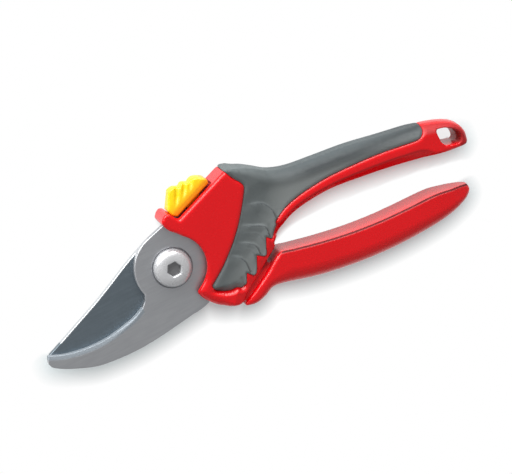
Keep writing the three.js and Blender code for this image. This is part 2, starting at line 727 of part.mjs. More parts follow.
// ---------------------------------------------------------------- the pieces
const finishes = {
  redShell: { color: 0xd21d26, roughness: 0.32, metalness: 0 },
  softGrey: { color: 0x5c6164, roughness: 0.78, metalness: 0 },
  satinSteel: { color: 0x8b8e91, roughness: 0.42, metalness: 0.85 },
  coatedBlade: { color: 0x565f65, roughness: 0.38, metalness: 0.6 },
  polishedSteel: { color: 0xc9cbcc, roughness: 0.2, metalness: 1 },
  springSteel: { color: 0x9a9da0, roughness: 0.35, metalness: 1 },
  yellowButton: { color: 0xf2c40a, roughness: 0.36, metalness: 0 },
  blackRubber: { color: 0x26282a, roughness: 0.85, metalness: 0 },
  bronze: { color: 0xa87c46, roughness: 0.4, metalness: 0.9 },
};

function piece(name, solid, finish) {
  const mesh = new THREE.Mesh(geometryOf(solid), new THREE.MeshStandardMaterial(finishes[finish]));
  mesh.name = name;
  return mesh;
}

const upperBody = new THREE.Group();
upperBody.add(
  piece("upper_handle_core", upperHandleCore(), "redShell"),
  piece("upper_grip", upperGrip(), "softGrey"),
  piece("hook_blade", hookBlade(), "satinSteel"),
  piece("pivot_bolt", pivotBolt(), "polishedSteel"),
  piece("pivot_nut", pivotNut(), "polishedSteel"),
  piece("pivot_spring_washer", springWasher(), "springSteel"),
  piece("pivot_bush", pivotBush(), "bronze"),
  piece("return_spring", returnSpring(), "springSteel"),
  piece("closing_pad", closingPad(), "blackRubber"),
);
hookPinPlaces.forEach(([x, y], i) => {
  upperBody.add(piece(`hook_pin_${i + 1}`, rod(x, y, pinRadius, pinBack, pinFront), "springSteel"));
});

const lowerBody = new THREE.Group();
lowerBody.add(
  piece("lower_handle", lowerHandle(), "redShell"),
  piece("cutting_blade", cuttingBlade(), "coatedBlade"),
);
bladePinPlaces.forEach(([x, y], i) => {
  lowerBody.add(piece(`blade_pin_${i + 1}`, rod(x, y, pinRadius, pinBack, pinFront), "springSteel"));
});

lockFrame.add(
  piece("lock_button", lockButton(), "yellowButton"),
  piece("lock_catch", lockCatch(), "springSteel"),
  piece("lock_screw", lockScrew(), "springSteel"),
  piece("lock_detent_leaf", detentLeaf(), "springSteel"),
);

const shears = new THREE.Group();
shears.name = "pruning_shears";
shears.add(upperBody, lowerBody, lockFrame);

export default shears;
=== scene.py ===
import math
import bmesh
import bpy
import numpy as np
from mathutils import Matrix, Vector


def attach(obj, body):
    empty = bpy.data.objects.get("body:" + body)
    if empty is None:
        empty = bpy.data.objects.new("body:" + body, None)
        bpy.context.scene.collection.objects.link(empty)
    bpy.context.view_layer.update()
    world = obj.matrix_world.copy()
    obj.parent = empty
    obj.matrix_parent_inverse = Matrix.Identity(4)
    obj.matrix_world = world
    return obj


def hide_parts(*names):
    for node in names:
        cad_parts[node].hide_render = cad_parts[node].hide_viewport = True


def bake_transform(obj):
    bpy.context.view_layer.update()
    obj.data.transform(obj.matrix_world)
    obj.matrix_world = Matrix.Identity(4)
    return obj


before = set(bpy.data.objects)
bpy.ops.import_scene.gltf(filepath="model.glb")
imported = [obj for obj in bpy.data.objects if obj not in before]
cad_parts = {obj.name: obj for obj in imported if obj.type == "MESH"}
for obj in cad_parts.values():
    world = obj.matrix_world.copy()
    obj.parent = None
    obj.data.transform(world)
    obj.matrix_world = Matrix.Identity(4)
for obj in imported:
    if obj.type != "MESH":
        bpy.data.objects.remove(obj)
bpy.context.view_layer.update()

# Pruning shears with a sliding lock and a return spring.
# Millimetres from the pivot: x to the handle ends, y to the lock, z out of the front.
mm = 0.001  # meshes are made in metres
cell = 0.36  # spacing of the handles' sampled forms
fineCell = 0.28  # and of the blades'
mostTriangles = 185000  # a piece over this is thinned
middle = 9.0  # height of the plane both handles are even about
lockSlope = {"start": (11.6, 19.6), "angle": 21}  # the head's slanted top, where the button slides
springLine = {  # the return spring's axis, its bore and its studs
    "foot": (31.6, -12.9), "heading": 84.0, "bore": 4.9, "boreEnd": 20.5,
    "stud": 2.9, "lowerStud": (-1, 4), "upperStud": (16.5, 21.5),
}
print("frame loaded:", len(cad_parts), "nodes")


# Lines and outlines
def smooth(*points, steps=5):
    p = np.array([points[0], *points, points[-1]], float)
    line = []
    for i in range(1, len(p) - 2):
        a, b, c, d = p[i - 1:i + 3]
        for t in np.arange(steps) / steps:
            line.append(b + 0.5 * t * (c - a + t * (2 * a - 5 * b + 4 * c - d + t * (3 * (b - c) + d - a))))
    return [tuple(q) for q in line] + [tuple(points[-1])]


def arc(radius, start, end, steps=20):
    return [polar(radius, angle) for angle in np.linspace(start, end, steps)]


def polar(radius, angle):
    return radius * math.cos(math.radians(angle)), radius * math.sin(math.radians(angle))


def fromPiece(start, end, x, y):  # squared distance from a straight piece of a line
    (ax, ay), (bx, by) = start, end
    dx, dy = bx - ax, by - ay
    t = np.clip(((x - ax) * dx + (y - ay) * dy) / (dx * dx + dy * dy + 1e-9), 0, 1)
    return (x - ax - t * dx) ** 2 + (y - ay - t * dy) ** 2


def lineDistance(line, x, y):
    nearest = 1e9
    for start, end in zip(line, line[1:]):
        nearest = np.minimum(nearest, fromPiece(start, end, x, y))
    return np.sqrt(nearest)


def outlineDistance(outline, x, y):  # below zero inside
    inside = False
    for (ax, ay), (bx, by) in zip(outline, outline[1:] + outline[:1]):
        if ay != by:
            inside = inside ^ (((ay > y) != (by > y)) & (x < (bx - ax) * (y - ay) / (by - ay) + ax))
    away = lineDistance(outline + outline[:1], x, y)
    return np.where(inside, -away, away)


def sideOf(line, x, y):  # above zero on the right of a line
    nearest, side = 1e9, 0
    for (ax, ay), (bx, by) in zip(line, line[1:]):
        away = fromPiece((ax, ay), (bx, by), x, y)
        side = np.where(away < nearest, (by - ay) * (x - ax) - (bx - ax) * (y - ay), side)
        nearest = np.minimum(nearest, away)
    return side


def alongAndLeft(x, y, start, heading):  # of a straight line from a point
    a = math.radians(heading)
    fromX, fromY = x - start[0], y - start[1]
    return fromX * math.cos(a) + fromY * math.sin(a), fromY * math.cos(a) - fromX * math.sin(a)


def onSlope(along, out):  # a point of the head's slanted top
    a = math.radians(lockSlope["angle"])
    x, y = lockSlope["start"]
    return x + along * math.cos(a) - out * math.sin(a), y + along * math.sin(a) + out * math.cos(a)


# Forms: arrays that are below zero inside the material
def join(a, b, r=0.4):
    h = np.maximum(r - np.abs(a - b), 0) / r
    return np.minimum(a, b) - h * h * r / 4


def meet(a, b, r=0.4):
    return -join(-a, -b, r)


def cutOut(a, b, r=0.4):
    return -join(-a, b, r)


def slab(flat, z, low, high, r=0.3):  # an outline's distance made a plate with rounded edges
    p = flat + r
    q = np.abs(z - (low + high) / 2) - (high - low) / 2 + r
    return np.minimum(np.maximum(p, q), 0) + np.hypot(np.maximum(p, 0), np.maximum(q, 0)) - r


def pocket(outline, levels, x, y, z, fit=0.3):  # the room that a plate needs
    low, high = levels
    fromPlate = np.abs(z - (low + high) / 2) - (high - low) / 2
    return np.maximum(outlineDistance(outline, x, y), fromPlate) - fit


def bevelForm(line, beyond, width, rise, x, y):  # a slanting face that ends along a line
    return (beyond * width + (width - lineDistance(line, x, y)) * rise) / np.hypot(width, rise)


def springBar(radius, low, high, x, y, z):  # a round bar along the return spring's axis
    along, left = alongAndLeft(x, y, springLine["foot"], springLine["heading"])
    return np.maximum(np.hypot(left, z - middle) - radius, np.maximum(low - along, along - high))


def fade(value, low, high):  # 0 below low, 1 above high, smooth between
    t = np.clip((value - low) / (high - low), 0, 1)
    return t * t * (3 - 2 * t)


def patch(x, y, xIn=None, xOut=None, yIn=None, yOut=None):  # 1 in one part of a piece, fading to 0
    share = 1.0
    for value, comesIn, goesOut in ((x, xIn, xOut), (y, yIn, yOut)):
        if comesIn:
            share = share * fade(value, *comesIn)
        if goesOut:
            share = share * (1 - fade(value, *goesOut))
    return share


def alongSections(sections, x):  # a table's columns, worked out at x
    table = np.array(sections, float)
    return [np.interp(x, table[:, 0], column) for column in table[:, 1:].T]


def barForm(palm, finger, sections, x, y, z):  # crowned to the palm, creased to the fingers
    half, crownWide, crownHigh, creaseWide, creaseHigh = alongSections(sections, x)
    q = np.abs(z - middle)
    u = np.maximum(1 - lineDistance(palm, x, y) / crownWide, 0)
    v = np.maximum((q - half + crownHigh) / crownHigh, 0)
    crown = (np.hypot(u, v) - 1) * crownHigh
    crease = bevelForm(finger, q - half, creaseWide, creaseHigh, x, y)
    return meet(meet(crown, outlineDistance(palm + finger[::-1], x, y), 0.3), crease, 0.5)


def sampled(low, high, step):
    axes = [np.arange(a - 3 * step, b + 3 * step, step, dtype=np.float32) for a, b in zip(low, high)]
    return axes[0][:, None, None], axes[1][None, :, None], axes[2][None, None, :]


# Quads where a form crosses zero, each cell's point the mean of its edges' crossings
def meshOf(name, form, x, y, z):
    start = np.array([x.flat[0], y.flat[0], z.flat[0]])
    step = float(x.flat[1] - x.flat[0])
    cells = np.array(form.shape) - 1
    allQuads, allPoints = [], []
    for axis in range(3):
        turned = np.moveaxis(form, axis, 0)
        low, high = turned[:-1], turned[1:]
        at = np.argwhere((low < 0) != (high < 0))
        a, b = low[tuple(at.T)], high[tuple(at.T)]
        others = [k for k in range(3) if k != axis]
        corner = np.empty_like(at)
        corner[:, axis], corner[:, others[0]], corner[:, others[1]] = at.T
        point = corner.astype(float)
        point[:, axis] += a / (a - b)
        u, v = (axis + 1) % 3, (axis + 2) % 3
        ring = []
        for du, dv in ((-1, -1), (0, -1), (0, 0), (-1, 0)):
            c = corner.copy()
            c[:, u] += du
            c[:, v] += dv
            ring.append((c[:, 0] * cells[1] + c[:, 1]) * cells[2] + c[:, 2])
        quads = np.stack(ring, 1)
        quads[a > 0] = quads[a > 0][:, ::-1]
        allQuads.append(quads)
        allPoints.append(point)
    ids, index = np.unique(np.concatenate(allQuads), return_inverse=True)
    index = index.reshape(-1, 4)
    points = np.concatenate(allPoints)
    counts = np.bincount(index.ravel(), minlength=len(ids))
    places = [np.bincount(index.ravel(), np.repeat(points[:, k], 4), len(ids)) / counts for k in range(3)]
    mesh = bpy.data.meshes.new(name)
    mesh.from_pydata(((start + np.stack(places, 1) * step) * mm).tolist(), [], index.tolist())
    smoothShaded(mesh)
    mesh.update()
    return mesh


# Meshes and pieces
def smoothShaded(mesh):
    mesh.polygons.foreach_set("use_smooth", np.ones(len(mesh.polygons), bool))


def linked(name, data):
    made = bpy.data.objects.new(name, data)
    bpy.context.scene.collection.objects.link(made)
    return made


def finalMesh(piece):  # the mesh after its modifiers, which are then removed
    bpy.context.view_layer.update()
    evaluated = piece.evaluated_get(bpy.context.evaluated_depsgraph_get())
    mesh = bpy.data.meshes.new_from_object(evaluated)
    piece.modifiers.clear()
    return mesh


def dressed(mesh, finish):
    mesh.materials.clear()
    mesh.materials.append(finish)


def addPiece(name, mesh, body, node, finish):
    piece = linked(name, mesh)
    triangles = sum(len(p.vertices) - 2 for p in mesh.polygons)
    if triangles > mostTriangles:
        thin = piece.modifiers.new("thin", "DECIMATE")
        thin.ratio = mostTriangles / triangles
        piece.data = finalMesh(piece)
    dressed(piece.data, finish)
    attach(piece, body)
    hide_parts(node)
    print(f"{name}: {triangles} triangles, {len(piece.data.polygons)} faces kept")


def shade(mesh, name, value):  # a number at each point, worked out from its place
    places = np.empty(len(mesh.vertices) * 3)
    mesh.vertices.foreach_get("co", places)
    x, y, z = (places.reshape(-1, 3) / mm).T
    painted = mesh.attributes.new(name, "FLOAT", "POINT")
    painted.data.foreach_set("value", value(x, y, z).astype(np.float32))


def turnedMesh(name, profile, sides=96):  # a profile of radius and height, turned about the pivot axis
    build = bmesh.new()
    places = [build.verts.new((r * mm, 0, h * mm)) for r, h in profile]
    edges = [build.edges.new(pair) for pair in zip(places, places[1:])]
    bmesh.ops.spin(build, geom=places + edges, cent=(0, 0, 0), axis=(0, 0, 1), angle=2 * math.pi,
                   steps=sides)
    bmesh.ops.remove_doubles(build, verts=build.verts, dist=0.000001)
    bmesh.ops.recalc_face_normals(build, faces=build.faces)
    return builtMesh(name, build)


def hexPrism(name, across, low, high, edge=0.0):  # its upper end can widen by an edge
    corner = across / 2 / math.cos(math.pi / 6)
    rings = [(corner, low), (corner, high - edge)] + ([(corner + 2 * edge, high + edge)] if edge else [])
    build = bmesh.new()
    turns = [k * math.pi / 3 for k in range(6)]
    loops = [[build.verts.new((r * mm * math.cos(a), r * mm * math.sin(a), h * mm)) for a in turns]
             for r, h in rings]
    for lower, upper in zip(loops, loops[1:]):
        for k in range(6):
            build.faces.new((lower[k], lower[(k + 1) % 6], upper[(k + 1) % 6], upper[k]))
    build.faces.new(loops[0][::-1])
    build.faces.new(loops[-1])
    return builtMesh(name, build)


def builtMesh(name, build):
    mesh = bpy.data.meshes.new(name)
    build.to_mesh(mesh)
    build.free()
    return mesh


def combined(mesh, tool, operation="DIFFERENCE"):  # both meshes are in place already
    piece, cutter = linked("piece", mesh), linked("tool", tool)
    step = piece.modifiers.new("cut", "BOOLEAN")
    step.operation, step.object, step.solver = operation, cutter, "EXACT"
    made = finalMesh(piece)
    bpy.data.objects.remove(piece)
    bpy.data.objects.remove(cutter)
    return made


def edgesSoftened(mesh, width, angle):
    piece = linked("piece", mesh)
    soften = piece.modifiers.new("soften", "BEVEL")
    soften.width, soften.segments = width * mm, 2
    soften.limit_method, soften.angle_limit = "ANGLE", math.radians(angle)
    made = finalMesh(piece)
    bpy.data.objects.remove(piece)
    smoothShaded(made)
    return made


# Finishes
class Value:  # an output socket that sums can be written with
    def __init__(self, nodes, socket):
        self.nodes, self.socket = nodes, socket

    def sum(self, operation, first, second):
        return self.nodes.add("ShaderNodeMath", {"operation": operation}, {0: first, 1: second})

    def __add__(self, other): return self.sum("ADD", self, other)
    def __sub__(self, other): return self.sum("SUBTRACT", self, other)
    def __rsub__(self, other): return self.sum("SUBTRACT", other, self)
    def __mul__(self, other): return self.sum("MULTIPLY", self, other)
    def __pow__(self, other): return self.sum("POWER", self, other)


class Nodes:
    def __init__(self, tree):
        self.tree = tree

    def add(self, kind, settings, inputs, output=0):
        node = self.tree.nodes.new(kind)
        for key, value in settings.items():
            if key == "stops":
                self.setStops(node.color_ramp, value)
            else:
                setattr(node, key, value)
        for key, value in inputs.items():
            if isinstance(value, Value):
                self.tree.links.new(value.socket, node.inputs[key])
            else:
                node.inputs[key].default_value = value
        return Value(self, node.outputs[output])

    def setStops(self, ramp, stops):  # each a place and a grey
        for place, grey in stops[2:]:
            ramp.elements.new(place)
        for element, (place, grey) in zip(ramp.elements, stops):
            element.position, element.color = place, (grey, grey, grey, 1)


def linear(red, green, blue):  # screen colour, 0 to 255, to the shader's
    parts = [c / 255 for c in (red, green, blue)]
    return (*[c / 12.92 if c < 0.04045 else ((c + 0.055) / 1.055) ** 2.4 for c in parts], 1)


class Finish(Nodes):
    def __init__(self, name, settings):
        self.material = bpy.data.materials.new(name)
        self.material.use_nodes = True
        super().__init__(self.material.node_tree)
        self.shader = self.tree.nodes["Principled BSDF"]
        for socket, value in settings.items():
            self.shader.inputs[socket].default_value = value
        self.place = self.add("ShaderNodeTexCoord", {}, {}, "Object")

    def noise(self, scale, detail=2, stretch=(1, 1, 1), turn=0):
        sockets = {"Vector": self.place, "Scale": stretch, "Rotation": (0, 0, turn)}
        place = self.add("ShaderNodeMapping", {}, sockets)
        return self.add("ShaderNodeTexNoise", {}, {"Vector": place, "Scale": scale, "Detail": detail})

    def level(self, value, low, high, start=0.0, end=1.0):
        sockets = {"Value": value, "From Min": low, "From Max": high, "To Min": start, "To Max": end}
        return self.add("ShaderNodeMapRange", {}, sockets)

    def grain(self, scale, detail, start=0.0, end=1.0):  # a noise spread between two numbers
        return self.level(self.noise(scale, detail), 0.3, 0.7, start, end)

    def mix(self, factor, *colours):  # of links or screen colours
        first, second = [linear(*c) if isinstance(c, tuple) else c for c in colours]
        return self.add("ShaderNodeMix", {"data_type": "RGBA"}, {0: factor, 6: first, 7: second}, 2)

    def axis(self, name):
        return self.add("ShaderNodeSeparateXYZ", {}, {"Vector": self.place}, name)

    def painted(self, name):  # the number that shade() stored
        return self.add("ShaderNodeAttribute", {"attribute_name": name}, {}, "Fac")

    def feed(self, socket, value):
        self.tree.links.new(value.socket, self.shader.inputs[socket])

    def bump(self, height, distance):
        sockets = {"Height": height, "Distance": distance, "Strength": 1.0}
        self.feed("Normal", self.add("ShaderNodeBump", {}, sockets))


def redPlastic():
    f = Finish("moulded red plastic", {"Roughness": 0.3, "Specular IOR Level": 0.4})
    face = f.mix(f.level(f.noise(30), 0.35, 0.65), (221, 2, 13), (226, 4, 16))
    # painted shade: a darker red on the crown of the tip, which is also made rougher
    face = f.mix(f.painted("matt"), face, (176, 0, 8))
    # painted shade: a dark red in creases and recesses, on the hanging hole's wall, in the button's channel
    # and on the tongue, also rougher
    f.feed("Base Color", f.mix(f.painted("seam"), face, (72, 0, 4)))
    f.feed("Roughness", f.grain(380, 2, 0.24, 0.28) + f.painted("seam") * 0.5 + f.painted("matt") * 0.35)
    f.bump(f.noise(900), 0.000001)
    return f.material


def greyElastomer():  # painted light: paler to the fingers on the grip, and painted shade, darker to the palm, on the bar
    f = Finish("soft grey elastomer", {
        "Roughness": 0.7, "Specular IOR Level": 0.3, "Sheen Weight": 0.2, "Sheen Roughness": 0.35})
    tone = f.grain(60, 3)
    shadedGrey = f.mix(tone, (90, 96, 97), (96, 102, 102))
    litGrey = f.mix(tone, (119, 124, 124), (126, 130, 129))
    onBar = f.level(f.axis("X"), 0.05, 0.075)  # all of these are in metres
    onGrip = f.level(f.axis("X") * 0.8 - f.axis("Y"), 0.0295, 0.041)
    share = onGrip * (1 - onBar) + onBar * f.level(f.axis("Y"), 0.018, 0.006, 0.2, 1.0)
    toPalm = f.axis("Y") + f.axis("X") * 0.11
    # painted shade: darker bands towards the palm edge of the bar
    skin = f.mix(onBar * f.level(toPalm, 0.0165, 0.0208), f.mix(share, shadedGrey, litGrey), (56, 61, 63))
    skin = f.mix(onBar * f.level(toPalm, 0.0212, 0.0235), skin, (76, 82, 84))
    # painted highlight just inside each scale's edge, painted shade just outside it
    skin = f.mix(f.painted("crest"), skin, (118, 124, 124))
    f.feed("Base Color", f.mix(f.painted("seam"), skin, (48, 54, 57)))
    f.feed("Roughness", f.grain(500, 2, 0.56, 0.72))
    f.bump(f.noise(2600), 0.00003)
    return f.material


def satinSteel():
    f = Finish("satin ground steel", {"Metallic": 1.0, "Roughness": 0.4})
    streak = f.noise(1500, 3, (0.08, 1, 1), math.radians(12))
    face = f.mix(f.level(streak, 0.3, 0.7), (180, 182, 186), (186, 188, 191))
    # painted shade on the throat's bevel, which is also rougher
    face = f.mix(f.painted("throat"), face, (150, 157, 163))
    # painted highlight along the hub's back edge, stored as "ground"
    f.feed("Base Color", f.mix(f.painted("ground"), face, (206, 208, 211)))
    f.feed("Roughness", f.level(streak, 0.3, 0.7, 0.4, 0.46) + f.painted("throat") * 0.3)
    f.bump(streak, 0.000001)
    return f.material


def coatedSteel():
    f = Finish("dark coated steel", {"Metallic": 0.85, "Roughness": 0.36})
    streak = f.noise(1200, 3, (0.08, 1, 1), math.radians(25))
    face = f.mix(f.level(streak, 0.3, 0.7), (112, 123, 131), (118, 129, 137))
    # painted highlight along the blade's back edge, stored as "ground"
    f.feed("Base Color", f.mix(f.painted("ground"), face, (204, 207, 210)))
    f.feed("Roughness", f.grain(300, 3, 0.34, 0.42))
    f.bump(streak, 0.000001)
    return f.material


def platedSteel():
    f = Finish("bright plated steel", {"Metallic": 0.3, "Roughness": 0.3})
    face = f.mix(f.grain(90, 3), (200, 201, 203), (208, 208, 210))
    # painted shade inside the hex socket
    f.feed("Base Color", f.mix(f.painted("socket"), face, (132, 132, 134)))
    f.feed("Roughness", f.grain(120, 2, 0.25, 0.29))
    return f.material


def springSteel():
    f = Finish("plain spring steel", {"Metallic": 1.0, "Roughness": 0.3})
    f.feed("Base Color", f.mix(f.grain(220, 3), (176, 178, 180), (200, 201, 203)))
    f.feed("Roughness", f.grain(800, 2, 0.24, 0.38))
    return f.material


def yellowPlastic():  # warmer towards the foot of the button
    f = Finish("moulded yellow plastic", {"Roughness": 0.34, "Specular IOR Level": 0.4})
    a = math.radians(lockSlope["angle"])
    height = f.axis("Y") * math.cos(a) - f.axis("X") * math.sin(a)
    upper = f.mix(f.grain(80, 2), (246, 208, 3), (250, 214, 8))
    f.feed("Base Color", f.mix(f.level(height, 0.0155, 0.0205), (238, 146, 0), upper))
    f.feed("Roughness", f.grain(500, 2, 0.28, 0.38))
    f.bump(f.noise(1500), 0.00001)
    return f.material


def blackRubber():
    f = Finish("black elastomer", {"Roughness": 0.8})
    f.feed("Base Color", f.mix(f.grain(150, 3), (34, 35, 36), (46, 47, 48)))
    f.bump(f.noise(1800), 0.00004)
    return f.material


def sinteredBronze():
    f = Finish("sintered bronze", {"Metallic": 1.0, "Roughness": 0.42})
    speckle = f.level(f.noise(1200, 4), 0.35, 0.65)
    f.feed("Base Color", f.mix(speckle, (150, 112, 62), (190, 146, 88)))
    f.feed("Roughness", f.grain(900, 3, 0.36, 0.5))
    return f.material


red, grey, steel, coated, plated = redPlastic(), greyElastomer(), satinSteel(), coatedSteel(), platedSteel()
spring, yellow, rubber, bronze = springSteel(), yellowPlastic(), blackRubber(), sinteredBronze()
print("finishes made")


# The blades' sizes and outlines
hookBlade = {
    "levels": (9.0, 12.5), "hub": 17.4, "bore": 6.7, "edge": 0.22,
    "bevel": 2.0, "land": 3.05, "bevelEnds": -19, "bevelRun": 25, "seatRadius": 9.3, "seatDepth": 0.4,
    "throatShade": (1.6, 2.4), "throatEnds": -20,
}
throat = smooth((-67.6, -10.6), (-60, -13.7), (-50, -15.6), (-40, -15.8), (-30, -14.1), (-24.9, -12.8),
                (-19.9, -10.5))
hookHub = hookBlade["hub"]
hookOutline = [
    *smooth(polar(hookHub, 106.4), (4, 19.3)), (8.4, 20.4), (10.2, 17.8), *arc(hookHub, 50, 33, 6),
    (33.2, 16.2), *smooth((33.2, 16.2), (35.2, 15.4), (35.8, 13), (34.2, 11.2)), polar(18.9, 10),
    *arc(hookHub, 4, -34, 12), *arc(23.9, -40, -90),
    *smooth(polar(23.9, -90), (-10, -25.3), (-20, -26.5), (-30, -27.05), (-40, -26.6), (-50, -25.1),
            (-60, -21.1), (-65, -18.5)),
    *smooth((-65, -18.5), (-67.9, -16.4), (-68.9, -14.3), (-68.5, -12.3), (-67.6, -10.6)), *throat,
    *smooth((-19.9, -10.5), (-17.8, -8.4), polar(hookHub, 199)), *arc(hookHub, 199, 106.4, 24)]

cuttingBlade = {
    "levels": (5.7, 8.9), "hub": 16.3, "bore": 6.7, "edge": 0.22,
    "bevel": 4.2, "land": 0.4, "bevelEnds": -6, "bevelDeep": 2.6,
    "chordStart": (-66.95, -11.6), "chordSlope": 3.5 / 60.85,
}
cuttingHub = cuttingBlade["hub"]
bladeTang = [
    (9.1, -13.5), *smooth((9.1, -13.5), (16, -17.6), (26, -25.4), (38, -26.6)), (50, -26.6),
    *smooth((50, -26.6), (52, -25.6), (52.6, -23.4), (52, -21.2), (50, -20.2)), (38, -19.4),
    *smooth((38, -19.4), (26, -16.6), (17.4, -11.4)), (15, -6)]
bladeBack = smooth(polar(cuttingHub, 118), (-10.95, 13.2), (-19.45, 9.4), (-29.45, 4.4), (-39.45, -0.25),
                   (-49.45, -4.4), (-59.45, -8.6))
belly = smooth((-66.95, -11.6), (-60, -16.2), (-50, -18.6), (-40, -19.3), (-30, -18), (-22, -15.9),
               (-14, -14.4))
bladeOutline = [*bladeBack, *belly, *arc(cuttingHub, 248, 304), *bladeTang[1:-1],
                *arc(cuttingHub, 334, 478, 40)]


# The upper handle: a stiff shell and the soft skin let into it
upperHandle = {
    "back": 0.5, "front": 17.5, "cheek": 15.2, "hubRoom": 18.8,
    "edge": 1.3, "chinEdge": 4.2, "ridgeEdge": 0.6, "slopeEdge": 2.0, "heelEdge": 3.4,  # roundings
    "forkReach": 44.2, "forkTop": -9.2, "forkLevels": (3.9, 14.1),
    "holeStraight": 139.1, "holeLean": 0.466, "holeEdge": 0.7,
    "channelMiddle": 10.4, "channelLength": 22.5, "channelDepth": 0.7, "channelHalf": 5.3,
    "skin": 1.6, "skinFit": 0.06, "skinBed": 0.15, "inlayDip": 0.6, "inlayDipWidth": 0.8,
    "lipDip": 1.6, "lipWidth": 2.2, "lipInside": 2.0,
    "ridgeAt": (29.8, -22.9), "ridgeWay": (0.553, -0.833), "ridgeSlope": 0.35, "ridgeBack": 4.6,
    "creaseAt": (22.6, -21.3), "creaseWay": (0.8, -0.6), "creaseSlope": 0.32, "guardDeep": 1.7,
    "barShade": 0.35, "barShadeWidth": 0.45, "holeShade": 0.32, "holeShadeWide": 0.6, "channelShade": 0.6,
    # x, half thickness, the crown's width and height, the crease's width and height
    "sections": [
        (42, 8.3, 2.2, 2.2, 1.5, 1.5), (46.5, 8.4, 3.2, 3, 3.2, 4), (51, 8.5, 4.5, 4, 3.4, 4),
        (53.5, 8.5, 5.5, 4.5, 2.2, 2.4), (59, 8.7, 5.6, 5.8, 2.2, 2.5), (67, 8.9, 5.6, 6.6, 2.5, 3),
        (80, 9, 5.4, 6.8, 2.5, 3), (95, 9, 5.2, 6.8, 3.4, 3.2), (110, 9, 5, 6.6, 4, 3.4),
        (124, 9, 5, 6.2, 4.2, 2.8), (127.5, 8.9, 5.6, 7.4, 3, 2), (130, 8.8, 5.6, 8, 1.2, 1.4),
        (134, 8.6, 5.2, 8, 1, 1.2), (141, 8, 3.6, 7.4, 1, 1.2), (145, 7.3, 2.4, 5.6, 1, 1.4),
        (146.4, 6.3, 1.6, 3, 0.8, 1.6)],
}
upperParts = {  # where each comes in and goes out
    "chin": {"xOut": (13, 20), "yOut": (-14, -6)}, "ridge": {"xIn": (23, 26), "yOut": (-13, -11)},
    "slope": {"xIn": (9, 12), "xOut": (38, 41), "yIn": (14, 17)},
    "heel": {"xIn": (45.6, 46.8), "yOut": (-3, 0)},
    "lip": {"xOut": (25.5, 27.5), "yOut": (-18.4, -16.4)}, "guard": {"xOut": (44, 47)},
    "scales": {"xIn": (20, 27), "xOut": (52, 62), "yOut": (12, 20)},
    "bar": {"xIn": (56, 64), "xOut": (126, 130)}, "tip": {"xIn": (126, 131)},
}
cheek = upperHandle["cheek"]
headOutline = [
    *smooth((3.7, 21.2), (4.2, 19.2), (5.6, 16.6), (8, 14.2), polar(cheek, 48)), *arc(cheek, 48, -32),
    *smooth(polar(cheek, -32), (10.6, -10.2), (7.4, -12.1), (5.3, -14.8), (6, -18), (8.6, -21.9), (11.6, -25),
            (15.6, -27.7)),
    *smooth((15.6, -27.7), (19.6, -29), (22.4, -28.8), (23.9, -27.4), (26, -25.4), (29.8, -22.9)),
    (44.4, -13.2), *smooth((44.4, -13.2), (45.6, -12), (46.4, -10.6)), (48.6, -8.4), (46, 20), (45, 27.4),
    (42.6, 29.3), *smooth((42.6, 29.3), (40, 30.2), onSlope(27, -0.1)), onSlope(0.2, 0),
    *smooth(onSlope(0.2, 0), (10.6, 20.5), (9.5, 22.2), (8.4, 23.9), (6.7, 24.4), (5, 23.4)), (3.8, 22)]
palmLine = smooth((42.5, 28.9), (47.5, 27.1), (52.5, 24), (58.5, 19.9), (67, 17.1), (80, 15.4), (95, 13.6),
                  (110, 10.7), (124, 8.1), (133.5, 5.8), (141.2, 2.6), (145.1, -0.9), (146.5, -4.9),
                  (146.2, -8.8))
fingerLine = smooth((46.3, -9.9), (49, -8.1), (53, -5.2), (59, -2.5), (67, -1), (80, -0.3), (95, -2),
                    (110, -4.3), (124, -6.9), (134, -9.1), (141, -10.1), (144.5, -10.3), (146.2, -8.8))
softOutline = [
    (37.9, 34), (38.2, 30.6),
    *smooth((39.4, 29.4), (41.6, 25), (43.9, 21.6), (44, 18.6), (39.6, 11.5), (34.6, 4.7), (29.6, -1)),
    *smooth((29.6, -1), (24.6, -5.7), (19.6, -9.9), (14.6, -13.5), (12.4, -15.2), (13.2, -17.7),
            (16.6, -20.1)),
    *smooth((16.6, -20.1), (19.6, -21.1), (22.1, -21.1), (24.4, -22.3), (26.8, -21.6)),
    (28.9, -16.8), *smooth((31.2, -19.4), (32.8, -19.2), (34.2, -16.8)), (36.4, -11.6),
    *smooth((39.4, -13.8), (40.7, -13.4), (41.6, -11)), (43.8, -6),
    *smooth((45.8, -8), (46.9, -7.2), (48.4, -5.4), (50.4, -3.2)),
    *smooth((50.4, -3.2), (50.6, -2), (51.8, -0.9), (57.3, 2.1), (64.6, 4.2), (74.6, 5.5), (84.6, 5.9),
            (105, 4.8), (122, 2.4)),
    *smooth((122, 2.4), (125.8, 2.3), (128.5, 4.4), (129.1, 7)), (129.6, 14), (129.6, 34)]
hangingHole = [
    *smooth((134, 0), (134.2, 1.5), (135.3, 2.1), (138.5, 1.2)),
    *smooth((138.5, 1.2), (141.4, -0.7), (143.6, -3.2), (144.2, -5.6), (143.4, -7.3), (141.2, -7.9)),
    *smooth((141.2, -7.9), (137.9, -7.1), (135.3, -6.1)), (134.2, -4)]

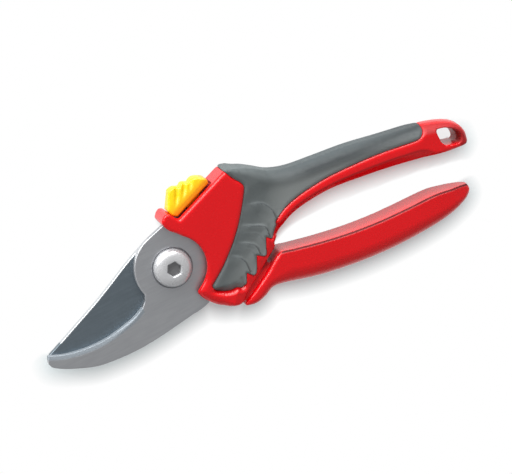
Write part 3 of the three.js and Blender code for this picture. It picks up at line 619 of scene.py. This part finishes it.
softScales = {  # raised on the grip, overlapping
    "sink": 0.68, "sinkIn": 1.5, "tail": 5.0, "fromRim": 1.2,
    "broadWidth": 3.0, "broadPower": 1.6, "steepWidth": 0.7,
    "shadeTail": 6.0, "shadePower": 1.5, "darkWidth": 0.55, "darkShare": 0.9,
    "paleFrom": 1.2, "paleWidth": 1.3, "paleShare": 0.5,
    "edges": (  # each with its height
        (0.9, smooth((24.6, -6.4), (27.2, -7.8), (29.3, -9.8), (30.3, -12.4), (30.3, -16.4))),
        (0.9, smooth((30.4, -2.6), (33.6, -4.2), (36.4, -6), (37.8, -8.2), (37.8, -11.4))),
        (0.9, smooth((34.4, 4.3), (39.6, 1.7), (43.4, -0.1), (45.3, -2), (45.2, -5.6))),
        (0.75, smooth((41.4, 10.9), (45.6, 10), (49, 8), (50.9, 4.6), (51.4, 1.2), (50.6, -2.6))),
        (0.35, smooth((33.8, 1), (38, -1.4), (41, -3.4), (41.8, -6.6))),
        (0.35, smooth((31.4, -6.2), (33.9, -7.6), (35.2, -9.8), (34.9, -12.4)))),
}


def headRounding(x, y):  # of the head's edges, place by place
    h = upperHandle
    rounding = h["edge"]
    for part in ("chin", "ridge", "slope", "heel"):
        rounding = rounding + (h[part + "Edge"] - rounding) * patch(x, y, **upperParts[part])
    return rounding


def scalesAt(x, y):  # height, distance from the edge, side of it, distance from its tail
    for height, edge in softScales["edges"]:
        fromTail = np.hypot(x - edge[0][0], y - edge[0][1])
        yield height, lineDistance(edge, x, y), sideOf(edge, x, y) > 0, fromTail


def scaleHeight(x, y):
    s, total = softScales, 0
    for height, away, within, fromTail in scalesAt(x, y):
        broad = np.exp(-(away / s["broadWidth"]) ** s["broadPower"])
        steep = np.exp(-(away / s["steepWidth"]) ** 2)
        total = total + height * np.minimum(fromTail / s["tail"], 1) * np.where(within, broad, steep)
    return total


def beyond(x, y, place, way):  # how far past a place, in a direction
    return (x - place[0]) * way[0] + (y - place[1]) * way[1]


def headDip(x, y, toInlay):  # how far the faces are lowered
    h = upperHandle
    dip = h["inlayDip"] * np.exp(-(toInlay / h["inlayDipWidth"]) ** 2)
    lipOut, lipIn = np.clip(1 - toInlay / h["lipWidth"], 0, 1), np.exp(-(toInlay / h["lipInside"]) ** 2)
    dip = dip + h["lipDip"] * patch(x, y, **upperParts["lip"]) * np.where(toInlay > 0, lipOut, lipIn)
    pastRidge = beyond(x, y, h["ridgeAt"], h["ridgeWay"]) + h["ridgeBack"]
    pastCrease = beyond(x, y, h["creaseAt"], h["creaseWay"])
    guard = np.minimum(h["ridgeSlope"] * pastRidge, h["creaseSlope"] * pastCrease)
    guard = np.clip(guard, 0, h["guardDeep"])  # falling away from the guard under the grip
    dip = dip + guard * fade(toInlay, -0.2, 0.5) * patch(x, y, **upperParts["guard"])
    scaled = fade(-toInlay, 0, softScales["sinkIn"]) * patch(x, y, **upperParts["scales"])
    return dip + softScales["sink"] * scaled - scaleHeight(x, y) * fade(-toInlay, 0, softScales["fromRim"])


def upperForm(x, y, z, toInlay):
    h = upperHandle
    fromMiddle = z - middle
    z = middle + np.sign(fromMiddle) * (np.abs(fromMiddle) + headDip(x, y, toInlay))
    head = slab(outlineDistance(headOutline, x, y), z, h["back"], h["front"], headRounding(x, y))
    return join(head, barForm(palmLine, fingerLine, h["sections"], x, y, z), 1.2)


def upperShade(x, y, z):  # painted shade in the crease along the bar, on the hanging hole's wall and in the button's channel
    h = upperHandle
    creaseWide = alongSections(h["sections"], x)[3]
    bar = np.exp(-((lineDistance(fingerLine, x, y) - creaseWide) / h["barShadeWidth"]) ** 2)
    bar = bar * patch(x, y, **upperParts["bar"]) * fade(z, 13, 14)
    wall = outlineDistance(hangingHole, x, y) < h["holeShadeWide"] + 0.1 * (18 - z)
    wall = fade(x, 140, 141.5) * wall * (z < 16.6)
    out = alongAndLeft(x, y, lockSlope["start"], lockSlope["angle"])[1]
    channel = (out < -0.12) * (out > -1.2) * (x > 9) * (y > 18)
    channel = channel * (np.abs(z - middle) < h["channelHalf"] + 0.15)
    return np.maximum(np.maximum(h["barShade"] * bar, h["holeShade"] * wall), h["channelShade"] * channel)


def tipShade(x, y, z):  # painted shade on the crown of the tip: a darker red, with a duller skin
    fromPalm = lineDistance(palmLine, x, y)
    crown = fade(fromPalm, 0.3, 0.9) * (1 - fade(fromPalm, 3.6, 5.4))
    return patch(x, y, **upperParts["tip"]) * crown * (z > middle)


def scaleShade(x, y, z, pale):  # painted shade just outside each scale's edge, painted highlight just inside
    s, total = softScales, 0 * x
    for height, away, within, fromTail in scalesAt(x, y):
        tail = np.minimum(fromTail / s["shadeTail"], 1) ** s["shadePower"]
        if pale:
            mark = s["paleShare"] * np.exp(-((away - s["paleFrom"]) / s["paleWidth"]) ** 2) * within
        else:
            mark = s["darkShare"] * np.exp(-(away / s["darkWidth"]) ** 2) * ~within
        total = np.maximum(total, height * tail * mark)
    return total * (z > middle)


def addUpperHandle():
    h = upperHandle
    x, y, z = sampled((3, -30, 0), (146.6, 31, 18), cell)
    toInlay = outlineDistance(softOutline, x, y)
    form = upperForm(x, y, z, toInlay)
    skin = meet(meet(form, toInlay + 0 * z, 0.25), -(form + h["skin"]), 0.1)
    skinMesh = meshOf("softSkin", skin, x, y, z)
    bed = meet(toInlay - h["skinFit"] + 0 * z, -(form + h["skin"] + h["skinBed"]), 0.1)
    core = cutOut(form, bed, 0.3)

    low, high = h["forkLevels"]
    wall = math.degrees(math.asin(h["forkTop"] / h["forkReach"]))
    fork = [(0, h["forkTop"]), *arc(h["forkReach"], wall, -90, 30)]
    between = np.abs(z - (low + high) / 2) - (high - low) / 2
    around = np.hypot(x, y)
    core = cutOut(core, meet(outlineDistance(fork, x, y), between, 0.3), 0.5)  # for the tongue
    core = cutOut(core, meet(around - h["hubRoom"], between, 0.3), 0.5)  # for the blades
    core = cutOut(core, around - h["cheek"], 0.9)
    core = cutOut(core, springBar(springLine["bore"], 0, springLine["boreEnd"], x, y, z), 0.3)
    core = cutOut(core, pocket(hookOutline, hookBlade["levels"], x, y, z), 0.2)
    straight = h["holeStraight"]  # beyond it the hanging hole leans in towards the back
    leaned = np.minimum(x, straight) + np.maximum(x - straight, 0) / (1 - h["holeLean"] * (1 - z / 18))
    core = cutOut(core, outlineDistance(hangingHole, leaned, y + 0 * z), h["holeEdge"])
    core = join(core, springBar(springLine["stud"], *springLine["upperStud"], x, y, z), 0.2)
    along, out = alongAndLeft(x, y, lockSlope["start"], lockSlope["angle"])
    channel = np.maximum(np.abs(along - h["channelMiddle"]) - h["channelLength"] / 2,
                         np.maximum(-h["channelDepth"] - out, np.abs(z - middle) - h["channelHalf"]))
    core = cutOut(core, channel, 0.3)
    shellMesh = meshOf("upperShell", core, x, y, z)

    # painted shade in the shell's creases and recesses, and on the crown of the tip
    shade(shellMesh, "seam", upperShade)
    shade(shellMesh, "matt", tipShade)
    # the scales' painted shade and painted highlight
    shade(skinMesh, "seam", lambda x, y, z: scaleShade(x, y, z, False))
    shade(skinMesh, "crest", lambda x, y, z: scaleShade(x, y, z, True))
    addPiece("upperShell", shellMesh, "upper", "upper_handle_core", red)
    addPiece("softSkin", skinMesh, "upper", "upper_grip", grey)


# The lower handle, with the tongue that runs in the head
lowerHandle = {
    "tongueInner": 26.0, "tongueReach": 43.6, "tongueTop": -12.9, "tongueLead": -52, "tongueHeel": -24,
    "tongueHalf": 4.85, "bladeRoom": 26.0, "bladeRoomFrom": 9.2,
    "rebateIn": 0.35, "rebateWidth": 0.55, "rebateStarts": 47, "rebateShadeWidth": 0.6, "tongueShade": 0.5,
    "sections": [  # as the upper handle's
        (22.6, 6.4, 0.6, 1.4, 0.4, 0.8), (27.5, 7.8, 2.6, 3.2, 0.8, 0.8), (32.6, 8.3, 3.6, 4, 1, 1),
        (38, 8.6, 4.5, 4.6, 1.1, 1.1), (45, 8.8, 6.5, 5.6, 1.2, 1.2), (49, 8.9, 7.5, 6.6, 0.2, 0.2),
        (65, 9, 7.5, 7, 0.2, 0.2), (110, 9, 7, 6.8, 0.2, 0.2), (121.5, 8.6, 5.5, 6, 0.2, 0.2),
        (129.6, 7.2, 3.8, 4.2, 0.2, 0.2), (134.9, 4.8, 2, 2.4, 0.2, 0.2), (138, 2.8, 0.9, 1.2, 0.2, 0.2)],
}
lowerParts = {"rebate": {"xIn": (46, 48)}, "tongue": {"xOut": (46, 47.5), "yIn": (-21, -18)}}
lowerPalm = smooth((23.8, -29.3), (22.6, -30.9), (27.5, -32.3), (32.6, -31.2), (37.6, -29.2), (44, -30.3),
                   (52, -32.8), (64, -35.6), (80, -37.9), (95, -38.9), (110, -38.7), (122, -37.6),
                   (130.2, -35.6), (135.4, -33.5), (138, -31), (137.8, -28.2))
lowerFinger = smooth((23.8, -29.3), (27.5, -27.3), (32.6, -24.3), (38.4, -20.8), (46, -15.6), (53, -16.8),
                     (65, -19.5), (80, -22.1), (95, -23.6), (110, -24.1), (121, -24.4), (129, -25.9),
                     (134.5, -27.1), (137.8, -28.2))


def lowerShade(x, y, z):  # painted shade in the rebate along the finger edge of the front face, and on the tongue under the head
    h = lowerHandle
    fromFront = z - middle - alongSections(h["sections"], x)[0]
    rebate = np.exp(-((lineDistance(lowerFinger, x, y) - h["rebateIn"]) / h["rebateShadeWidth"]) ** 2)
    rebate = rebate * fade(fromFront, -1, -0.7) * patch(x, y, **lowerParts["rebate"])
    tongue = h["tongueShade"] * patch(x, y, **lowerParts["tongue"]) * (z < 16.5)
    return np.maximum(rebate, tongue)


def addLowerHandle():
    h = lowerHandle
    x, y, z = sampled((15, -39, 0), (138.2, -8, 18), cell)
    form = barForm(lowerPalm, lowerFinger, h["sections"], x, y, z)
    fromFace = np.abs(z - middle) - alongSections(h["sections"], x)[0]
    rebate = np.hypot(lineDistance(lowerFinger, x, y) - h["rebateIn"], fromFace) - h["rebateWidth"]
    form = cutOut(form, np.maximum(rebate, h["rebateStarts"] - x), 0.15)
    inner, reach = h["tongueInner"], h["tongueReach"]
    innerTop, reachTop = [math.degrees(math.asin(h["tongueTop"] / r)) for r in (inner, reach)]
    tongue = [*arc(inner, innerTop, h["tongueLead"]), polar(36.2, h["tongueLead"]), (26.4, -30), (42, -24),
              (42.6, -18.8), *arc(reach, h["tongueHeel"], reachTop, 8)]
    plate = slab(outlineDistance(tongue, x, y), z, middle - h["tongueHalf"], middle + h["tongueHalf"], 0.4)
    form = join(form, plate, 0.5)
    form = cutOut(form, pocket(bladeTang, cuttingBlade["levels"], x, y, z), 0.2)
    form = cutOut(form, np.maximum(np.hypot(x, y) - h["bladeRoom"], h["bladeRoomFrom"] - z), 0.4)
    form = join(form, springBar(springLine["stud"], *springLine["lowerStud"], x, y, z), 0.2)
    mesh = meshOf("lowerShell", form, x, y, z)
    # painted shade in the rebate and on the tongue under the head
    shade(mesh, "seam", lowerShade)
    addPiece("lowerShell", mesh, "lower", "lower_handle", red)


# The blades
def edgeHighlight(line, low):  # painted highlight along a line, above the back face
    return lambda x, y, z: (lineDistance(line, x, y) < 0.5) * fade(z, low + 0.1, low + 0.4)


def addHookBlade():
    b = hookBlade
    low, high = b["levels"]
    x, y, z = sampled((-70, -28, low), (37, 21.5, high), fineCell)
    around = np.hypot(x, y)
    form = slab(outlineDistance(hookOutline, x, y), z, low, high, b["edge"])
    width = b["bevel"] * np.clip((b["bevelEnds"] - x) / b["bevelRun"], 0.02, 1)
    form = meet(form, bevelForm(throat, z - high, width, high - low - b["land"], x, y), 0.15)
    form = cutOut(form, around - b["bore"] + 0 * z, 0.2)
    form = cutOut(form, np.maximum(around - b["seatRadius"], high - b["seatDepth"] - z), 0.1)
    mesh = meshOf("hookedBlade", form, x, y, z)
    # painted shade along the throat's bevel
    shade(mesh, "throat", lambda x, y, z: (1 - fade(lineDistance(throat, x, y), *b["throatShade"]))
          * (x < b["throatEnds"]))
    shade(mesh, "ground", edgeHighlight(arc(b["hub"], 199, 106.4, 24), low))
    addPiece("hookedBlade", mesh, "upper", "hook_blade", steel)


def addCuttingBlade():
    b = cuttingBlade
    low, high = b["levels"]
    startX, startY = b["chordStart"]
    x, y, z = sampled((-68, -28, low), (53.5, 17, high), fineCell)
    form = slab(outlineDistance(bladeOutline, x, y), z, low, high, b["edge"])
    bladed = x < b["bevelEnds"]
    chord = startY - b["chordSlope"] * (x - startX)
    width = b["bevel"] * np.clip((chord - y) / b["bevelDeep"], 0.02, 1) * bladed + 0.02
    bevel = bevelForm(belly, low - z, width, high - low - b["land"], x, y)
    form = meet(form, np.where(bladed, bevel, -1), 0.12)
    form = cutOut(form, np.hypot(x, y) - b["bore"] + 0 * z, 0.2)
    mesh = meshOf("cuttingBlade", form, x, y, z)
    shade(mesh, "ground", edgeHighlight(bladeBack, low))
    addPiece("cuttingBlade", mesh, "lower", "cutting_blade", coated)


# The lock button
thumbButton = {
    "shoulder": 3.0, "foot": 4.5, "crest": 2.2, "height": 13.4, "length": 20.8, "rounding": 0.9, "gap": 0.3,
    "grooves": ((1.45, 0.9), (4.7, 0.9), (7.5, 0.8), (11.3, 0.4)),  # places and depths
    "grooveWidth": 0.95, "grooveStarts": (3.6, 6.5),
    "stemMiddle": 10.4, "stemHalf": 4.0, "stemDepth": 7.1, "stemLevel": 10.1, "stemThick": 3.0,
}


def buttonOutline():  # from the side, along the slope and out of it
    end, gap = thumbButton["length"], thumbButton["gap"]
    return [(0.4, gap), (end, gap), *smooth((end + 0.8, 1.6), (end + 0.5, 3.2), (19.6, 5.6)),
            *smooth((19.6, 5.6), (17.8, 7), (16.3, 7.4), (14.7, 7)),
            *smooth((13.6, 8.6), (12.4, 9.1), (10.8, 8.6)),
            *smooth((9.4, 10.1), (8.1, 10.85), (5.9, 11.15)), (-0.8, 5.4), (-1, 2.6)]


def addButton():
    b = thumbButton
    x, y, z = sampled((8, 12, 4), (32, 34, 14), fineCell * 0.8)
    along, out = alongAndLeft(x, y, lockSlope["start"], lockSlope["angle"])
    across = x * 0.891 - y * 0.436  # the grooves lean towards the pivot
    groove = sum(depth * np.exp(-((across - place) / b["grooveWidth"]) ** 2) for place, depth in b["grooves"])
    leanIn = (b["foot"] - b["crest"]) * np.clip((out - b["shoulder"]) / (b["height"] - b["shoulder"]), 0, 1)
    inward = leanIn + groove * fade(out, *b["grooveStarts"])
    faces = middle + np.sign(z - middle) * (np.abs(z - middle) + inward)
    low, high = middle - b["foot"], middle + b["foot"]
    form = slab(outlineDistance(buttonOutline(), along, out), faces, low, high, b["rounding"])
    stem = np.maximum(np.abs(along - b["stemMiddle"]) - b["stemHalf"],
                      np.abs(z - b["stemLevel"]) - b["stemThick"] / 2)
    form = join(form, np.maximum(stem, np.maximum(-b["stemDepth"] - out, out - 2)), 0.2)
    mesh = meshOf("thumbButton", form, x, y, z)
    addPiece("thumbButton", mesh, "lock", "lock_button", yellow)


# The pivot bolt and its nut
pivotBolt = {
    "head": 8.75, "headRise": 4.6, "rim": 1.0, "flat": 3.9,
    "socket": 6.0, "socketDepth": 2.8, "socketEdge": 0.45, "socketShade": 3.6, "socketShadeTop": (1.6, 0.4),
    "shoulder": 5.0, "thread": 4.0, "chamfer": 0.6, "seatGap": 0.38, "edge": 0.12, "domeSteps": 14,
}
pivotNut = {
    "across": 13, "thick": 4.3, "corner": 7.4, "chamfer": 0.9, "chamferSlant": 1.7,
    "over": 0.15, "edge": 0.15, "bore": 4.05, "boreMouth": 5.0, "boreChamfer": 0.95,
}


def addBolt():
    b = pivotBolt
    shoulderLow, seat = cuttingBlade["levels"][0], hookBlade["levels"][1]
    top, under = seat + b["headRise"], seat - b["seatGap"]
    thread, shoulder, head, flat, rim = [b[key] for key in ("thread", "shoulder", "head", "flat", "rim")]
    dome = [(flat + (head - flat) * math.cos(t), seat + rim + (b["headRise"] - rim) * math.sin(t))
            for t in np.linspace(0, math.pi / 2, b["domeSteps"] + 1)]
    profile = [(0, 0), (thread - b["chamfer"], 0), (thread, b["chamfer"]), (thread, shoulderLow - 0.02),
               (shoulder, shoulderLow), (shoulder, under), (head - 0.5, under), (head, seat + 0.15),
               *dome, (0, top)]
    socket = hexPrism("socket", b["socket"], top - b["socketDepth"], top, b["socketEdge"])
    mesh = edgesSoftened(combined(turnedMesh("pivotBolt", profile), socket), b["edge"], 25)
    upper = [top - depth for depth in b["socketShadeTop"]]
    # painted shade on the walls inside the hex socket
    shade(mesh, "socket", lambda x, y, z: (np.hypot(x, y) < b["socketShade"])
          * fade(z, seat + 0.1, seat + 0.2) * (1 - fade(z, *upper)))
    addPiece("pivotBolt", mesh, "upper", "pivot_bolt", plated)


def addNut():
    n = pivotNut
    rim = n["corner"] + n["over"]
    profile = [(0, 0), (n["corner"] - n["chamfer"] * n["chamferSlant"], 0), (rim, n["chamfer"]),
               (rim, n["thick"]), (0, n["thick"])]
    bore = [(0, -1), (n["boreMouth"], -1), (n["boreMouth"], 0), (n["bore"], n["boreChamfer"]),
            (n["bore"], 6), (0, 6)]
    sides = hexPrism("nutSides", n["across"], -1, 6)
    mesh = combined(turnedMesh("pivotNut", profile), sides, "INTERSECT")
    mesh = edgesSoftened(combined(mesh, turnedMesh("nutBore", bore)), n["edge"], 30)
    addPiece("pivotNut", mesh, "upper", "pivot_nut", plated)


# The return spring, a coil between the two handles
coil = {
    "turns": 7.5, "meanRadius": 3.75, "wire": 0.55, "length": 19.4, "first": 0.55,
    "turnSteps": 36, "wireSteps": 14,
}


def coilTree(sizes):  # a round wire along a spiral, with its inputs' identifiers
    tree = bpy.data.node_groups.new("coilSpring", "GeometryNodeTree")

    def newSocket(name, way, kind):
        return tree.interface.new_socket(name, in_out=way, socket_type="NodeSocket" + kind).identifier

    newSocket("Geometry", "INPUT", "Geometry")
    sockets = {name: newSocket(name, "INPUT", "Float") for name in sizes}
    sockets["Finish"] = newSocket("Finish", "INPUT", "Material")
    newSocket("Geometry", "OUTPUT", "Geometry")
    nodes = Nodes(tree)
    given = {name: nodes.add("NodeGroupInput", {}, {}, name) for name in sockets}
    path = nodes.add("GeometryNodeCurveSpiral", {}, {
        "Resolution": coil["turnSteps"], "Rotations": given["Turns"], "Start Radius": given["Radius"],
        "End Radius": given["Radius"], "Height": given["Length"]})
    ring = nodes.add("GeometryNodeCurvePrimitiveCircle", {}, {
        "Resolution": coil["wireSteps"], "Radius": given["Wire"]})
    wire = nodes.add("GeometryNodeCurveToMesh", {}, {"Curve": path, "Profile Curve": ring, "Fill Caps": True})
    smoothed = nodes.add("GeometryNodeSetShadeSmooth", {}, {"Geometry": wire})
    single = nodes.add("GeometryNodeRealizeInstances", {}, {"Geometry": smoothed})
    finished = nodes.add("GeometryNodeSetMaterial", {}, {"Geometry": single, "Material": given["Finish"]})
    tree.links.new(finished.socket, tree.nodes.new("NodeGroupOutput").inputs[0])
    return tree, sockets


def addSpring():
    sizes = {"Turns": coil["turns"], "Radius": coil["meanRadius"] * mm, "Wire": coil["wire"] * mm,
             "Length": coil["length"] * mm}
    tree, sockets = coilTree(sizes)
    holder = linked("coil", bpy.data.meshes.new("coil"))
    step = holder.modifiers.new("coil", "NODES")
    step.node_group = tree
    for name, value in {**sizes, "Finish": spring}.items():
        step[sockets[name]] = value
    mesh = finalMesh(holder)
    bpy.data.objects.remove(holder)
    a = math.radians(springLine["heading"])
    along, across = Vector((math.cos(a), math.sin(a), 0)), Vector((math.sin(a), -math.cos(a), 0))
    foot = Vector((*springLine["foot"], middle))
    turn = Matrix((across, along.cross(across), along)).transposed().to_4x4()
    mesh.transform(Matrix.Translation((foot + along * coil["first"]) * mm) @ turn)
    piece = linked("returnSpring", mesh)
    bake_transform(piece)
    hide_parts("return_spring")
    print("returnSpring:", len(mesh.polygons), "faces")


def dressKept():  # pieces that keep their shape
    small = ("pivot_spring_washer", "hook_pin_1", "hook_pin_2", "blade_pin_1", "blade_pin_2",
             "lock_catch", "lock_screw", "lock_detent_leaf")
    kept = {**dict.fromkeys(small, spring), "pivot_bush": bronze, "closing_pad": rubber}
    for node, finish in kept.items():
        dressed(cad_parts[node].data, finish)
    print(len(kept), "pieces of the frame dressed")


# Floor, light and camera
studioFloor = {
    "edge": 6000, "fineX": (-120, 200), "fineY": (-90, 80), "step": 1.5, "height": -0.3,
    "shadowShift": 4.5, "whiteFrom": (-0.5, 7.5, 0.2, 1.0),  # distances from the shadow, then shares of white
    "holeWhite": 5.625, "holePlace": (0.149, -0.005), "holeRing": (0.004, 0.007),
    "floorTint": ((236, 247, 248), (240, 249, 250)), "nearRed": (226, 248, 250),
}
studioLight = {
    "strength": 1.08, "brightSide": (-0.1, 0.85, -0.5),  # low down on the button's side
    "greys": ((0.0, 0.42), (0.45, 0.5), (0.7, 0.9), (1.0, 1.0)), "aim": (0.03, 0, 0.01),
    "key": {"place": (0.0, 0.85, 0.5), "power": 10.0, "size": (1.4, 0.7)},
    "low": {"place": (0.0, 0.6, 0.1), "power": 3.0, "size": (1.4, 0.18)},
    "strip": {"place": (0.0, 0.9, 0.4), "power": 15.0, "size": (2.6, 0.2)},
}
studioCamera = {
    "distance": 3000, "roll": 27.1, "lens": 470, "toCamera": (-0.12, 0.27, 0.95),
    "frameMiddle": (256, 237), "pivotAt": (172.8, 268.0), "scale": 0.4488, "pivotHeight": 13.5,
}


def fromShadow(x, y, z):  # distance from the contact shadow, which lies on the finger side
    outlines = [headOutline, palmLine + fingerLine[::-1], lowerPalm + lowerFinger[::-1],
                hookOutline, bladeOutline]
    shift = studioFloor["shadowShift"]
    below = np.min([outlineDistance(o, x, y + shift) for o in outlines], 0)
    above = np.min([outlineDistance(o, x, y - shift) for o in outlines], 0)
    away = below + np.maximum(below - above, 0)
    return np.where(outlineDistance(hangingHole, x - 1.5, y) < 1.5, studioFloor["holeWhite"], away)


def floorMesh():  # a grid, fine round the object, so that it can be painted
    s, edge = studioFloor, studioFloor["edge"]
    xs, ys = [np.array([-edge, *np.arange(*s[fine], s["step"]), edge]) for fine in ("fineX", "fineY")]
    gridX, gridY = np.meshgrid(xs, ys, indexing="ij")
    places = np.stack([gridX.ravel(), gridY.ravel(), np.full(gridX.size, s["height"])], 1)
    rows = np.arange(len(xs) - 1)[:, None] * len(ys) + np.arange(len(ys) - 1)[None, :]
    corners = np.stack([rows, rows + len(ys), rows + len(ys) + 1, rows + 1], -1).reshape(-1, 4)
    mesh = bpy.data.meshes.new("floor")
    mesh.from_pydata((places * mm).tolist(), [], corners.tolist())
    shade(mesh, "away", fromShadow)
    return mesh


def floorFinish():  # white to the camera and in mirrors, away from the shadow
    s, f = studioFloor, Finish("studio floor", {"Roughness": 0.9, "Specular IOR Level": 0.1})
    floorTint = f.mix(f.grain(3, 2), *s["floorTint"])
    # a cool tint, bluer by the red handles, to offset the red light they bounce onto the floor
    f.feed("Base Color", f.mix(f.level(f.axis("X"), 0.0, 0.03), floorTint, s["nearRed"]))
    holeX, holeY = s["holePlace"]  # under the hole it isn't mirrored white in the far wall
    fromHole = ((f.axis("X") - holeX) ** 2 + (f.axis("Y") - holeY) ** 2) ** 0.5
    glossy, direct = [f.add("ShaderNodeLightPath", {}, {}, f"Is {ray} Ray") for ray in ("Glossy", "Camera")]
    mirrored = glossy * f.level(fromHole, *s["holeRing"])
    seen = direct * f.level(f.painted("away"), *s["whiteFrom"]) + mirrored
    white = f.add("ShaderNodeEmission", {}, {"Color": (1, 1, 1, 1), "Strength": 1.0})
    both = f.add("ShaderNodeMixShader", {}, {0: seen, 1: Value(f, f.shader.outputs[0]), 2: white})
    f.tree.links.new(both.socket, f.tree.nodes["Material Output"].inputs["Surface"])
    return f.material


def addFloor():
    floor = linked("floor", floorMesh())
    dressed(floor.data, floorFinish())


def addWorld():
    world = bpy.data.worlds.new("studio")
    bpy.context.scene.world = world
    world.use_nodes = True
    nodes = Nodes(world.node_tree)
    place = nodes.add("ShaderNodeTexCoord", {}, {}, "Generated")
    sockets = {0: place, 1: studioLight["brightSide"]}
    side = nodes.add("ShaderNodeVectorMath", {"operation": "DOT_PRODUCT"}, sockets, "Value")
    light = nodes.add("ShaderNodeValToRGB", {"stops": studioLight["greys"]}, {0: side})
    background = nodes.tree.nodes["Background"]
    background.inputs["Strength"].default_value = studioLight["strength"]
    nodes.tree.links.new(light.socket, background.inputs["Color"])


def addLamp(name):
    settings = studioLight[name]
    light = bpy.data.lights.new(name, "AREA")
    light.shape = "RECTANGLE"
    light.energy, light.size, light.size_y = settings["power"], *settings["size"]
    lamp = linked(name, light)
    lamp.location = settings["place"]
    aim = Vector(studioLight["aim"]) - Vector(settings["place"])
    lamp.rotation_euler = aim.to_track_quat("-Z", "Y").to_euler()
    return lamp


def addCamera():
    c = studioCamera
    back = Vector(c["toCamera"]).normalized()
    alongX = (Vector((1, 0, 0)) - back * back.x).normalized()
    alongY = back.cross(alongX)
    turn = math.radians(c["roll"])
    right = alongX * math.cos(turn) - alongY * math.sin(turn)
    up = alongX * math.sin(turn) + alongY * math.cos(turn)
    (middleX, middleY), (pivotX, pivotY) = c["frameMiddle"], c["pivotAt"]
    aside = (right * (middleX - pivotX) + up * (pivotY - middleY)) * c["scale"]
    target = Vector((0, 0, c["pivotHeight"])) + aside
    camera = linked("camera", bpy.data.cameras.new("camera"))
    camera.data.lens, camera.data.sensor_width = c["lens"], 36
    camera.data.clip_start, camera.data.clip_end = 0.1, 30
    place = Matrix.Translation((target + back * c["distance"]) * mm)
    camera.matrix_world = place @ Matrix((right, up, back)).transposed().to_4x4()
    bpy.context.scene.camera = camera


addUpperHandle()
addLowerHandle()
addHookBlade()
addCuttingBlade()
addButton()
addBolt()
addNut()
addSpring()
dressKept()
addFloor()
addWorld()
addLamp("key")
addLamp("low")
addLamp("strip").visible_diffuse = False  # only mirrored
addCamera()
bpy.context.scene.view_settings.view_transform = "Standard"
print("scene ready")
